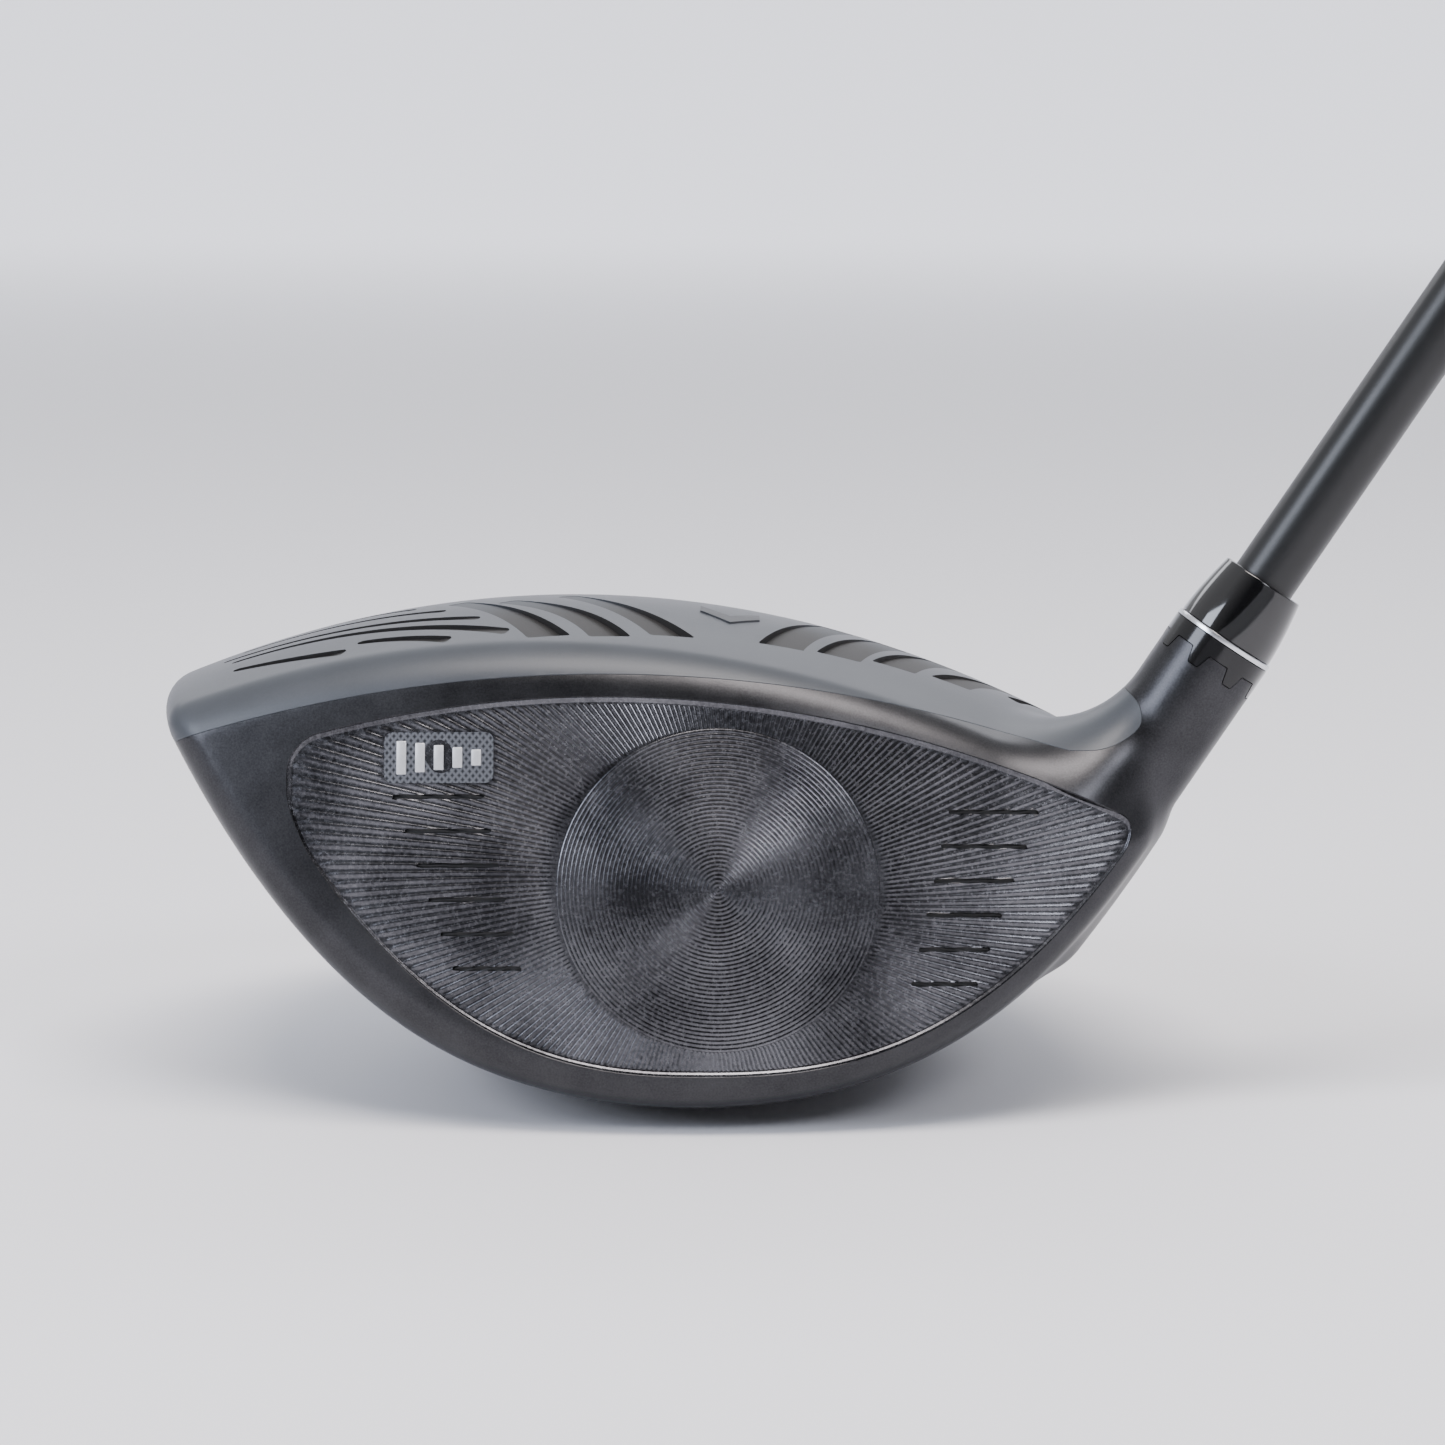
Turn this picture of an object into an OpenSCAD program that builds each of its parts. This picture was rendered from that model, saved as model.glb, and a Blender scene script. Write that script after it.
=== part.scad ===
// Golf driver: a hollow titanium head with a milled face plate and a composite crown, on a
// graphite shaft that an eight-tooth sleeve and a sole screw hold in the hosel.
// X runs from toe to heel, -Y is the way the face looks, Z is up. The origin is the lowest
// point of the sole with the club at address. Millimetres.

/* [Head] */
// Reach of the head from the origin towards the toe
toe_reach = 72.4; // [68:0.1:76]
// Reach of the head from the origin towards the heel
heel_reach = 65.3; // [62:0.1:68]
// Reach of the head from the origin towards the back
back_reach = 77; // [70:0.5:82]
// Reach of the bowl towards the front, which the face cuts off
front_reach = 95; // [90:0.5:100]
// Power of the outline seen from above, where 2 is an ellipse
outline_power = 1.92; // [1.8:0.01:2.2]
// Height of the bowl's rim at the front, which the face cuts off
front_rim = 39.9; // [36:0.1:44]
// How far the rim lies below the crown's own curve
rim_drop = 1.3; // [0.8:0.1:2]
// How far the rim drops towards the back: distance squared over this
rim_spread = 166; // [160:1:180]
// Power of the bowl's rise from the sole to the rim
bowl_power = 2.96; // [2.6:0.01:3.2]
// Height of the crown's highest point
crown_height = 65.3; // [62:0.1:68]
// Place of the crown's highest point
crown_place = [-16.6, -3]; // [-30:0.1:10]
// How far the crown drops: distance squared over this, across and back
crown_spread = [262, 180]; // [160:1:320]
// Radius that rounds the edges between crown, bowl and face
edge_radius = 3.7; // [3:0.1:5]
// Wall thickness of the body
wall = 1.6; // [1.4:0.1:2]
// Thickness of the composite crown
crown_wall = 1.1; // [0.8:0.1:1.2]
// Width of the ledge that the crown is bonded to
ledge_width = 7; // [5:0.5:9]

/* [Face] */
// Middle of the face
face_place = [3.3, -38, 31.4]; // [-60:0.1:60]
// Angle that the face leans back
loft = 10.5; // [9:0.1:12]
// Bulge and roll radius of the face
face_radius = 305; // [280:1:330]
// Thickness of the face plate
face_wall = 2.9; // [2.4:0.1:3.4]
// Depth of the milled face below the body around it
face_recess = 0.35; // [0.2:0.05:0.5]
// Length of a score line in the middle of the face
score_length = 10.4; // [8:0.1:12]
// Distance between score lines
score_pitch = 4.45; // [4:0.05:5]
// Depth of a score line and half its width
score_cut = [0.5, 0.35]; // [0.2:0.05:0.6]
// Score lines on each side of the middle of the face
score_count = 6; // [4:1:7]

/* [Hosel and sleeve] */
// Angle between the shaft and the ground
lie = 56.4; // [55:0.1:60]
// Middle of the trim ring on the shaft's axis
ring_place = [70, -21, 61.9]; // [-30:0.1:75]
// Radius of the hosel
hosel_radius = 7; // [6.8:0.05:7.3]
// Radius of the sleeve's barrel in the hosel
barrel_radius = 5.5; // [5.3:0.05:5.6]
// Running clearance around the sleeve's barrel
running = 0.05; // [0.03:0.01:0.1]
// Teeth around the sleeve
teeth = 8; // [6:1:10]
// Height of a tooth
tooth_height = 2.1; // [1.8:0.1:2.4]
// Width of a tooth at its root and at its tip
tooth_width = [2.6, 1.4]; // [1:0.1:3]
// Radius of the hosel screw's shank
screw_radius = 2.5; // [2:0.1:3]

/* [Shaft and grip] */
// Length of the club along the shaft, from the ground to the end of the cap
club_length = 1149; // [1100:1:1160]
// Radius of the shaft's tip
tip_radius = 4.25; // [4.2:0.05:4.4]
// Radius of the shaft's butt
butt_radius = 7.6; // [7.4:0.05:7.8]
// Wall of the shaft
shaft_wall = 1.2; // [1:0.1:1.6]
// Length of the grip
grip_length = 267; // [255:1:275]
// Radius of the grip at its mouth and just below its cap
grip_radius = [8.7, 13.2]; // [8.5:0.1:14]
// Radius of the cap
cap_radius = 14.2; // [13.8:0.1:15]

/* [Weights] */
// Place of the front and rear weights on the sole, as x and y
weight_places = [[2, -19], [0, 50]]; // [-30:1:56]
// Radius of a weight
weight_radius = 6.5; // [6:0.1:7]
// Height of a weight
weight_height = 6.4; // [5.8:0.1:7]
// Wall of the port that a weight screws into
port_wall = 1.3; // [1:0.1:1.6]

/* [Hidden] */

steps_around = 80;
search_steps = 17;
tiny = 0.05;

// the middle that the head's surface is searched outwards from
head_middle = [0, 0, 34];
// the crown's seam on the heel side, as an oval seen from above
seam_middle = [-4, 22];
seam_front = 54.5;
seam_heel = 64;
seam_back = 60;
seam_power = 3;
// the crown's seam above the face: its height on the face, and its fall to both sides
seam_height = 28;
seam_fall = 380;
seam_end = -14;
face_top = [-15, 25, 300];

// stations along the hosel's axis, counted from the middle of the trim ring
ring_half = 0.4;
ferrule_top = 9.3;
ferrule_step = 0.25;
ferrule_wall = 1.2;
rim_level = -2.6;
barrel_end = -35;
barrel_floor = -33.5;
seat_top = -47.5;
seat_level = -50;
head_level = -55;
tunnel_end = -84;
liner_radius = 6.15;
tooth_gap = 0.12;
shaft_start = -24;
tunnel_radius = 5;
tunnel_place = [34.5, -21];
butt_level = club_length - ring_place[2] / sin(lie);
cap_height = 4;
cap_plug = 5;
vent_radius = 1.5;
// a weight: radius of its threaded stub, depth of the stub's hole, washer, and the socket in its head
stub_radius = 3;
port_stub = 2.6;
washer_high = 0.6;
socket = [1.5, 3];
// the aero trips on each side of the mark
trip_count = 5;
trip_pitch = 7.65;
trip_wide = 1.2;
trip_high = 1;
trip_long = [14.3, 0.8];
taper_start = 60;
taper_end = 900;
inlay = 0.02;
inlay_high = 0.25;
hair = 0.02;
grip_start = butt_level - grip_length;
tape_gap = 0.2;
band_place = 640;
band_height = 60;

face_back = [0, cos(loft), -sin(loft)];
face_ball = face_place + face_radius * face_back;

$fn = 64;

function ease(t) = let (s = min(1, max(0, t))) s * s * s * (s * (6 * s - 15) + 10);
function mix(a, b, t) = a + (b - a) * t;

// the bowl: its outline, the height of its rim, and its height over a point
function reach(c, s) =
    let (side = mix(toe_reach, heel_reach, ease((c + 1) / 2)))
    let (depth = mix(front_reach, back_reach, ease((s + 1) / 2)))
    pow(pow(abs(c) / side, outline_power) + pow(abs(s) / depth, outline_power), -1 / outline_power);
function rim(c, s) =
    let (side = c < 0 ? -toe_reach : heel_reach, far = reach(c, s))
    let (level = crown_height - rim_drop)
    s > 0 ? level - pow(far * c - crown_place[0], 2) / crown_spread[0] - pow(far * s, 2) / rim_spread
    : mix(front_rim, level - pow(side - crown_place[0], 2) / crown_spread[0], c * c);
function bowl_height(x, y) =
    let (far = max(tiny, norm([x, y])), c = x / far, s = y / far)
    rim(c, s) * pow(far / reach(c, s), bowl_power);
function bowl_gap(p) =
    let (far = max(tiny, norm([p[0], p[1]])), c = p[0] / far, s = p[1] / far)
    let (out = reach(c, s), high = rim(c, s) * pow(far / out, bowl_power))
    let (slope = bowl_power * high / far)
    (high - p[2]) / sqrt(1 + slope * slope);

// the crown: its height over a point
function crown_level(x, y) =
    crown_height - pow(x - crown_place[0], 2) / crown_spread[0]
    - pow(y - crown_place[1], 2) / crown_spread[1];
function crown_gap(p) =
    let (across = 2 * (p[0] - crown_place[0]) / crown_spread[0])
    let (along = 2 * (p[1] - crown_place[1]) / crown_spread[1])
    (p[2] - crown_level(p[0], p[1])) / sqrt(1 + across * across + along * along);

// the head: crown, bowl and face with rounded edges; each gap is a distance, negative inside
function face_gap(p) = norm(p - face_ball) - face_radius;
function rounded(a, b, r) = min(-r, max(a, b)) + norm([max(a + r, 0), max(b + r, 0)]);
function head_gap(p) =
    rounded(rounded(crown_gap(p), bowl_gap(p), edge_radius), face_gap(p), edge_radius);

// the seam: negative where the crown panel lies
face_up = [0, sin(loft), cos(loft)];
function seam_gap(p) =
    let (from_face = p - face_place, x = p[0] - seam_middle[0], y = p[1] - seam_middle[1])
    let (depth = y < 0 ? seam_front : seam_back)
    let (oval = pow(pow(abs(x) / seam_heel, seam_power) + pow(abs(y) / depth, seam_power), 1 / seam_power))
    let (front = seam_height - pow(from_face[0] - face_top[0], 2) / seam_fall - from_face * face_up)
    max(bowl_gap(p) + wall, p[1] < seam_end ? front : -1, x < 0 ? -1 : (oval - 1) * seam_front);

// the point on a surface along a ray from a place inside it
function cast(gap, from, way, near, far, n) =
    let (m = (near + far) / 2)
    n == 0 ? from + way * m
    : gap(from + way * m) < 0 ? cast(gap, from, way, m, far, n - 1)
    : cast(gap, from, way, near, m, n - 1);
function way(turn, lift) = [cos(lift) * cos(turn), cos(lift) * sin(turn), sin(lift)];
// the faces between two poles and the rows of points around them
function globe_faces(around, up) = [
    for (i = [0 : around - 1]) [0, 1 + i, 1 + (i + 1) % around],
    for (j = [0 : up - 3], i = [0 : around - 1])
        let (a = 1 + j * around + i, b = 1 + j * around + (i + 1) % around)
        each [[a, a + around, b], [b, a + around, b + around]],
    for (i = [0 : around - 1])
        let (last = 1 + (up - 2) * around, tip = 1 + (up - 1) * around)
        [last + i, tip, last + (i + 1) % around]
];
// the head's own grid: its rows follow the edge under the crown and the face's lower edge
function on_head(turn, lift) = cast(function(p) head_gap(p), head_middle, way(turn, lift), 0, 110, 12);
function crown_edge(turn, low = -40, high = 80, n = 9) =
    let (m = (low + high) / 2, p = on_head(turn, m))
    n == 0 ? m
    : crown_gap(p) > max(bowl_gap(p), face_gap(p)) ? crown_edge(turn, low, m, n - 1)
    : crown_edge(turn, m, high, n - 1);
function face_edge(turn, low, high, n = 9) =
    let (m = (low + high) / 2, p = on_head(turn, m))
    n == 0 ? m
    : face_gap(p) > bowl_gap(p) ? face_edge(turn, low, m, n - 1)
    : face_edge(turn, m, high, n - 1);
rows = [10, 6, 8];
cap_rows = 8;
// the gap between body and crown at the seam, in degrees of lift
seam_lap = 0.06;
function head_lifts() = [
    for (i = [0 : steps_around - 1])
        let (turn = 360 * i / steps_around, top = crown_edge(turn))
        let (p = on_head(turn, top - 5), faced = face_gap(p) > bowl_gap(p))
        let (low = faced ? face_edge(turn, -88, top - 5) : mix(top - 5, -28, ease(sin(turn) + 0.45)))
        [
            for (k = [0 : rows[0] - 1]) mix(low, -90, pow(1 - k / rows[0], 1.5)),
            for (k = [0 : rows[1] - 1]) mix(low, top, ease(k / rows[1]) * 0.4 + 0.6 * k / rows[1]),
            for (k = [0 : rows[2] - 1]) mix(top, 90, pow(k / rows[2], 1.7))
        ]
];

// the face plate's outline, in the face's own plane: x to the heel, y up
outline_middle = [-3, 4];
function top_gap(p) = p[1] - face_top[1] + pow(p[0] - face_top[0], 2) / face_top[2];
function low_gap(p) = -24 + (p[0] < -2 ? 0.0012 : 0.00102) * pow(abs(p[0] + 2), 2.56) - p[1];
function toe_gap(p) = -p[0] - 56.2;
function outline_gap(p) = rounded(rounded(top_gap(p), low_gap(p), 5), toe_gap(p), 4);
function outline(grow) = [
    for (i = [0 : 119])
        let (spot = cast(function(p) outline_gap(p) - grow, outline_middle,
            [cos(3 * i), sin(3 * i)], 0, 90, search_steps))
        spot
];

// a place on the sole, and the way out of it
function sole_spot(xy) = [xy[0], xy[1], bowl_height(xy[0], xy[1])];
function sole_way(xy) =
    let (dx = bowl_height(xy[0] + tiny, xy[1]) - bowl_height(xy[0] - tiny, xy[1]))
    let (dy = bowl_height(xy[0], xy[1] + tiny) - bowl_height(xy[0], xy[1] - tiny))
    let (n = [dx, dy, -2 * tiny])
    n / norm(n);

module on_hosel(level = 0) {
    translate(ring_place) rotate([0, 90 - lie, 0]) translate([0, 0, level]) children();
}
module on_face() {
    translate(face_place) rotate([90 - loft, 0, 0]) children();
}
module on_sole(xy) {
    n = sole_way(xy);
    translate(sole_spot(xy)) rotate([0, acos(n[2]), atan2(n[1], n[0])]) children();
}
// a turned piece, from points given as radius and height
module turned(points) {
    rotate_extrude() polygon(points);
}
module tube(outer, inner, low, high) {
    turned([[inner, low], [outer, low], [outer, high], [inner, high]]);
}

// the lift at which the head's surface passes under the crown panel
function seam_lift(turn, low = -40, high = 80, n = 12) =
    let (m = (low + high) / 2)
    n == 0 ? m
    : seam_gap(on_head(turn, m)) < 0 ? seam_lift(turn, low, m, n - 1)
    : seam_lift(turn, m, high, n - 1);
// a cap of the head's surface, from the seam up, between two depths below the surface; its
// columns stand between the head's own columns, by the given share of a step
module cap_solid(outer, inner, margin, shift = 0.4) {
    n = steps_around;
    up = cap_rows;
    turns = [for (i = [0 : n - 1]) 360 * (i + shift) / n];
    seam = [for (turn = turns) seam_lift(turn) + margin];
    points = [
        for (inset = [outer, inner])
            let (gap = function(p) head_gap(p) + inset)
            each [
                for (j = [0 : up - 1], i = [0 : n - 1])
                    let (lift = mix(seam[i], 90, pow(j / up, 1.3)))
                    cast(gap, head_middle, way(turns[i], lift), 0, 110, search_steps),
                cast(gap, head_middle, [0, 0, 1], 0, 110, search_steps)
            ]
    ];
    skin = n * up + 1;
    polyhedron(points, [
        for (j = [0 : up - 2], i = [0 : n - 1])
            let (a = j * n + i, b = j * n + (i + 1) % n)
            each [
                [a, a + n, b], [b, a + n, b + n],
                [a + skin, b + skin, a + n + skin], [b + skin, b + n + skin, a + n + skin]
            ],
        for (i = [0 : n - 1])
            let (a = (up - 1) * n + i, b = (up - 1) * n + (i + 1) % n, tip = n * up)
            each [[a, tip, b], [a + skin, b + skin, tip + skin]],
        for (i = [0 : n - 1])
            let (j = (i + 1) % n)
            each [[i, j, i + skin], [j, j + skin, i + skin]]
    ], convexity = 4);
}
module head_solid(inset, lifts) {
    gap = function(p) head_gap(p) + inset;
    up = len(lifts[0]);
    polyhedron([
        cast(gap, head_middle, way(0, -90), 0, 110, search_steps),
        for (j = [1 : up - 1], i = [0 : steps_around - 1])
            cast(gap, head_middle, way(360 * i / steps_around, lifts[i][j]), 0, 110, search_steps),
        cast(gap, head_middle, way(0, 90), 0, 110, search_steps)
    ], globe_faces(steps_around, up), convexity = 4);
}
// the neck: the hosel's tube, and the flare that joins it to the crown
module neck(grow = 0) {
    top = rim_level + grow;
    low = -50;
    // each ball of the flare: place across and along the hosel, and radius
    flare = [[0, -13, 7], [-0.8, -18, 7.6], [-4, -23, 8.8], [-9, -27, 10.6], [-15, -30.5, 11.7]];
    on_hosel(low) cylinder(r = hosel_radius + grow, h = top - low);
    for (k = [0 : len(flare) - 2]) {
        hull() for (f = [flare[k], flare[k + 1]])
            on_hosel(f[1]) translate([f[0], 0, 0]) sphere(r = f[2] + grow - tiny, $fn = 32);
    }
}
// the gaps in the hosel's rim that take the sleeve's teeth
module tooth(grow) {
    root = tooth_width[0] / 2 + grow;
    tip = tooth_width[1] / 2 + grow;
    low = rim_level - tooth_height - grow;
    high = rim_level + 4 * tiny;
    rotate([90, 0, 90]) linear_extrude(hosel_radius + 1) polygon([
        [-root, high], [-tip, low], [tip, low], [root, high]
    ]);
}
module tooth_ring(grow, outer) {
    difference() {
        intersection() {
            union() {
                for (i = [0 : teeth - 1]) rotate(360 * (i + 0.5) / teeth) tooth(grow);
            }
            cylinder(r = outer, h = 40, center = true);
        }
        cylinder(r = barrel_radius - 2 * tiny, h = 50, center = true);
    }
}

module body_shell() {
    lifts = head_lifts();
    ledge_angle = ledge_width / 50 * 180 / PI;
    color("#3b3a3c") resize([0, 0, 0]) difference() {
        union() {
            difference() {
                head_solid(0, lifts);
                head_solid(wall, lifts);
                cap_solid(-1, wall + 1, 0);
            }
            difference() {
                cap_solid(crown_wall + tiny, wall + crown_wall, -2, 0.2);
                cap_solid(0, wall + crown_wall + 1, ledge_angle, 0.7);
            }
            difference() {
                neck();
                head_solid(wall, lifts);
            }
        }
        on_hosel(tunnel_end) cylinder(r = liner_radius + tiny, h = 100);
        on_hosel() tooth_ring(tooth_gap, hosel_radius + 0.5);
        on_face() translate([0, 0, -10]) linear_extrude(20) polygon(outline(tiny));
        for (xy = weight_places) on_sole(xy) cylinder(r = weight_radius + port_wall, h = 30, center = true);
    }
}

// the score lines on one side of the face: each ends on a line that leans to the middle below
module score_lines(side) {
    skin = face_radius - face_recess;
    for (i = [0 : score_count - 1]) {
        y = (i - (score_count - 1) / 2) * score_pitch - side;
        long = score_length + 0.14 * y;
        x = side * (27.6 + 0.22 * y + long / 2);
        edge = sqrt(skin * skin - x * x - y * y) - face_radius;
        translate([x, y, edge]) cube([long, 2 * score_cut[1], 2 * score_cut[0]], center = true);
    }
}
// the face plate, dished like the face
module face_plate() {
    skin = face_radius - face_recess;
    color("#1b1b1d") on_face() difference() {
        intersection() {
            linear_extrude(40, center = true) polygon(outline(0));
            translate([0, 0, -face_radius]) sphere(r = skin, $fn = 360);
        }
        translate([0, 0, -face_radius]) sphere(r = skin - face_wall, $fn = 360);
        score_lines(-1);
        score_lines(1);
    }
}

module crown_panel() {
    color("#64696f") resize([0, 0, 0]) difference() {
        cap_solid(0, crown_wall, seam_lap);
        neck(tiny);
    }
}

// one aero trip: a low fin on the crown that rises to the back, then falls to the crown again
module fin(at, turn, long) {
    deep = 0.33;
    hull() {
        for (t = [0, 1]) {
            x = at[0] + long * t * cos(turn);
            y = at[1] + long * t * sin(turn);
            rise = trip_high * (1 - t);
            translate([x, y, crown_level(x, y) - deep + rise / 2])
                rotate(turn) cube([2 * deep, trip_wide, 2 * deep + rise], center = true);
        }
    }
}
function trip_place(side, i) =
    let (x = 4.9 + side * (7 + trip_pitch * i))
    [x, side > 0 ? -21.3 + 0.0065 * x * x : -24 + 0.004 * pow(x + 16, 2)];
module trip_set(side) {
    for (i = [0 : trip_count - 1])
        fin(trip_place(side, i), 90 - side * (8 + 7 * i), trip_long[0] - trip_long[1] * i);
    // the strip that ties the fins together along their front
    for (i = [0 : trip_count - 2]) {
        hull() for (k = [i, i + 1]) {
            spot = trip_place(side, k);
            translate([spot[0], spot[1], crown_level(spot[0], spot[1]) - tiny])
                cube([0.8, trip_wide, 0.5], center = true);
        }
    }
}
module aero_trips(side) {
    color("#3c3836") resize([0, 0, 0]) difference() {
        trip_set(side);
        cap_solid(-inlay, 2, seam_lap);
    }
}
module aero_trips_toe() {
    aero_trips(-1);
}
module aero_trips_heel() {
    aero_trips(1);
}
// a plain arrowhead that points at the target line, a thin inlay that follows the crown
module alignment_mark() {
    color("#c9cacc") resize([0, 0, 0]) difference() {
        intersection() {
            cap_solid(-inlay_high, 1, seam_lap);
            translate([4.9, -4, 50]) linear_extrude(30) polygon([
                [-4, -4], [0, -9], [4, -4], [4, 0], [0, -5], [-4, 0]
            ]);
        }
        cap_solid(-inlay, 2, seam_lap);
    }
}

// the tube welded into the hosel: the sleeve's bore, the screw's seat and the tunnel to the sole
module hosel_liner() {
    bore = barrel_radius + running;
    color("#8d8f93") difference() {
        on_hosel() turned([
            [tunnel_radius, tunnel_end],
            [liner_radius, tunnel_end],
            [liner_radius, rim_level - tooth_height - 1],
            [bore, rim_level - tooth_height - 1],
            [bore, seat_top],
            [screw_radius + 0.35, seat_top],
            [screw_radius + 0.35, seat_level],
            [tunnel_radius, seat_level]
        ]);
        // the tube's foot is cut along the sole
        on_sole(tunnel_place) translate([-30, -30, -1]) cube([60, 60, 40]);
    }
}
module screw_washer() {
    color("#a9abb0") on_hosel() tube(4.6, screw_radius + 0.1, seat_level - 0.9, seat_level - tiny);
}
module hosel_screw() {
    low = head_level - tiny;
    top = seat_level - 0.95;
    color("#9a9ca1") difference() {
        on_hosel() turned([
            [0, low], [3.7, low], [4.2, low + 0.5], [4.2, top], [screw_radius, top],
            [screw_radius, barrel_floor + 6.5], [screw_radius - 0.5, barrel_floor + 7], [0, barrel_floor + 7]
        ]);
        on_hosel(low - 1) cylinder(r = 2, h = 4, $fn = 6);
        on_hosel(low - 1) rotate(30) cylinder(r = 2, h = 4, $fn = 6);
    }
}

// the port cup welded into the sole, with the bore that the weight's thread runs in
module port(xy) {
    color("#77797d") difference() {
        on_sole(xy) turned([
            [0, -weight_height - port_stub - 0.8],
            [weight_radius + port_wall - tiny, -weight_height - port_stub - 0.8],
            [weight_radius + port_wall - tiny, -0.3],
            [weight_radius + 0.1, -0.3],
            [weight_radius + 0.1, -weight_height],
            [stub_radius + 0.1, -weight_height],
            [stub_radius + 0.1, -weight_height - port_stub],
            [0, -weight_height - port_stub]
        ]);
    }
}
module front_port() {
    port(weight_places[0]);
}
module rear_port() {
    port(weight_places[1]);
}
module weight_washer(xy) {
    low = -weight_height + hair;
    color("#26262a") on_sole(xy) tube(weight_radius - 0.3, stub_radius + 0.15, low, low + washer_high - hair);
}
module front_weight_washer() {
    weight_washer(weight_places[0]);
}
module rear_weight_washer() {
    weight_washer(weight_places[1]);
}
// a weight: a headed slug with a six-lobed socket
module weight(xy) {
    top = -0.5;
    seat = -weight_height + washer_high + tiny;
    foot = -weight_height - 2.2;
    chamfer = 0.5;
    color("#8b8d91") on_sole(xy) difference() {
        turned([
            [0, foot], [stub_radius - chamfer, foot], [stub_radius, foot + chamfer],
            [stub_radius, seat], [weight_radius, seat],
            [weight_radius, top - chamfer], [weight_radius - chamfer, top],
            [0, top]
        ]);
        translate([0, 0, top - socket[1]]) cylinder(r = socket[0], h = 4);
        for (i = [0 : 5]) rotate(60 * i) translate([socket[0], 0, top - socket[1]]) cylinder(r = 0.55, h = 4);
    }
}
module front_weight() {
    weight(weight_places[0]);
}
module rear_weight() {
    weight(weight_places[1]);
}
// a thin plain oval badge bonded into the middle of the sole
module sole_badge() {
    lifts = head_lifts();
    color("#a7a9ad") resize([0, 0, 0]) difference() {
        intersection() {
            head_solid(-0.3, lifts);
            translate([0, 28, -5]) scale([1.8, 1, 1]) cylinder(r = 8, h = 20, $fn = 48);
        }
        head_solid(-0.02, lifts);
    }
}

// the sleeve that the shaft is bonded in: barrel, collar and teeth
module hosel_sleeve() {
    color("#121214") on_hosel() union() {
        difference() {
            turned([
                [0, barrel_end], [barrel_radius - 0.6, barrel_end], [barrel_radius, barrel_end + 0.6],
                [barrel_radius, rim_level], [hosel_radius, rim_level], [hosel_radius, -ring_half],
                [0, -ring_half]
            ]);
            translate([0, 0, shaft_start - 2]) cylinder(r = tip_radius + tiny, h = 60);
            translate([0, 0, barrel_end - 1]) cylinder(r = screw_radius + 0.06, h = 20);
        }
        tooth_ring(0, hosel_radius - tiny);
    }
}
module sleeve_ring() {
    color("#d9dadd") on_hosel() tube(hosel_radius, tip_radius + tiny, -ring_half + 0.03, ring_half - 0.03);
}
module ferrule() {
    base = hosel_radius - ferrule_step;
    top = tip_radius + ferrule_wall;
    round_over = 0.6;
    color("#0d0d0f") on_hosel() turned([
        [tip_radius + tiny, ring_half],
        [base, ring_half],
        for (t = [0.25 : 0.25 : 1])
            [mix(base, top + round_over / 2, pow(t, 1.6)), mix(ring_half, ferrule_top - round_over, t)],
        [top, ferrule_top - round_over / 4],
        [top - round_over / 2, ferrule_top],
        [tip_radius + tiny, ferrule_top]
    ]);
}
module tip_plug() {
    color("#3f7d4a") on_hosel(shaft_start + 0.1) turned([
        [0, 0], [tip_radius - shaft_wall - 0.02, 0], [tip_radius - shaft_wall - 0.02, 9],
        [tip_radius - shaft_wall - 0.6, 10], [0, 10]
    ]);
}

// the shaft's outer radius at a station along the hosel's axis
function shaft_radius(level) =
    let (t = (level - taper_start) / (taper_end - taper_start))
    mix(tip_radius, butt_radius, min(1, max(0, t)));
module shaft() {
    stations = [shaft_start, taper_start, taper_end, butt_level - cap_height];
    color("#2b2d30") on_hosel() turned([
        for (s = stations) [shaft_radius(s), s],
        for (i = [len(stations) - 1 : -1 : 0]) [shaft_radius(stations[i]) - shaft_wall, stations[i]]
    ]);
}
// a plain decal band wound on the shaft
module shaft_band() {
    high = band_place + band_height;
    color("#9a9da1") on_hosel() turned([
        [shaft_radius(band_place) + 0.01, band_place],
        [shaft_radius(band_place) + 0.12, band_place],
        [shaft_radius(high) + 0.12, high],
        [shaft_radius(high) + 0.01, high]
    ]);
}
module grip_tape() {
    low = grip_start + 6;
    high = butt_level - cap_height - 0.2;
    color("#c9b58a") on_hosel() turned([
        [shaft_radius(low) + 0.01, low],
        [shaft_radius(low) + tape_gap, low],
        [shaft_radius(taper_end) + tape_gap, taper_end],
        [shaft_radius(high) + tape_gap, high],
        [shaft_radius(high) + 0.01, high],
        [shaft_radius(taper_end) + 0.01, taper_end]
    ]);
}
module grip() {
    high = butt_level - cap_height;
    steps = 12;
    start = shaft_radius(grip_start) + tape_gap + hair;
    color("#1d1d1f") on_hosel() turned([
        [start, grip_start],
        [grip_radius[0] - 0.6, grip_start],
        [grip_radius[0], grip_start + 0.8],
        for (i = [1 : steps])
            let (t = i / steps)
            [mix(grip_radius[0], grip_radius[1], pow(t, 0.8)), mix(grip_start + 0.8, high, t)],
        [shaft_radius(high) + tape_gap + hair, high],
        [shaft_radius(taper_end) + tape_gap + hair, taper_end]
    ]);
}
// the cap that closes the butt, with its vent
module grip_cap() {
    low = butt_level - cap_height;
    plug_radius = butt_radius - shaft_wall - hair;
    color("#1d1d1f") on_hosel() difference() {
        turned([
            [0, low - cap_plug], [plug_radius, low - cap_plug], [plug_radius, low + hair],
            [cap_radius, low + hair], [cap_radius, butt_level - 1.2], [cap_radius - 0.4, butt_level - 0.5],
            [cap_radius - 1.3, butt_level], [0, butt_level]
        ]);
        translate([0, 0, low - cap_plug - 1]) cylinder(r = vent_radius, h = 20);
    }
}

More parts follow.
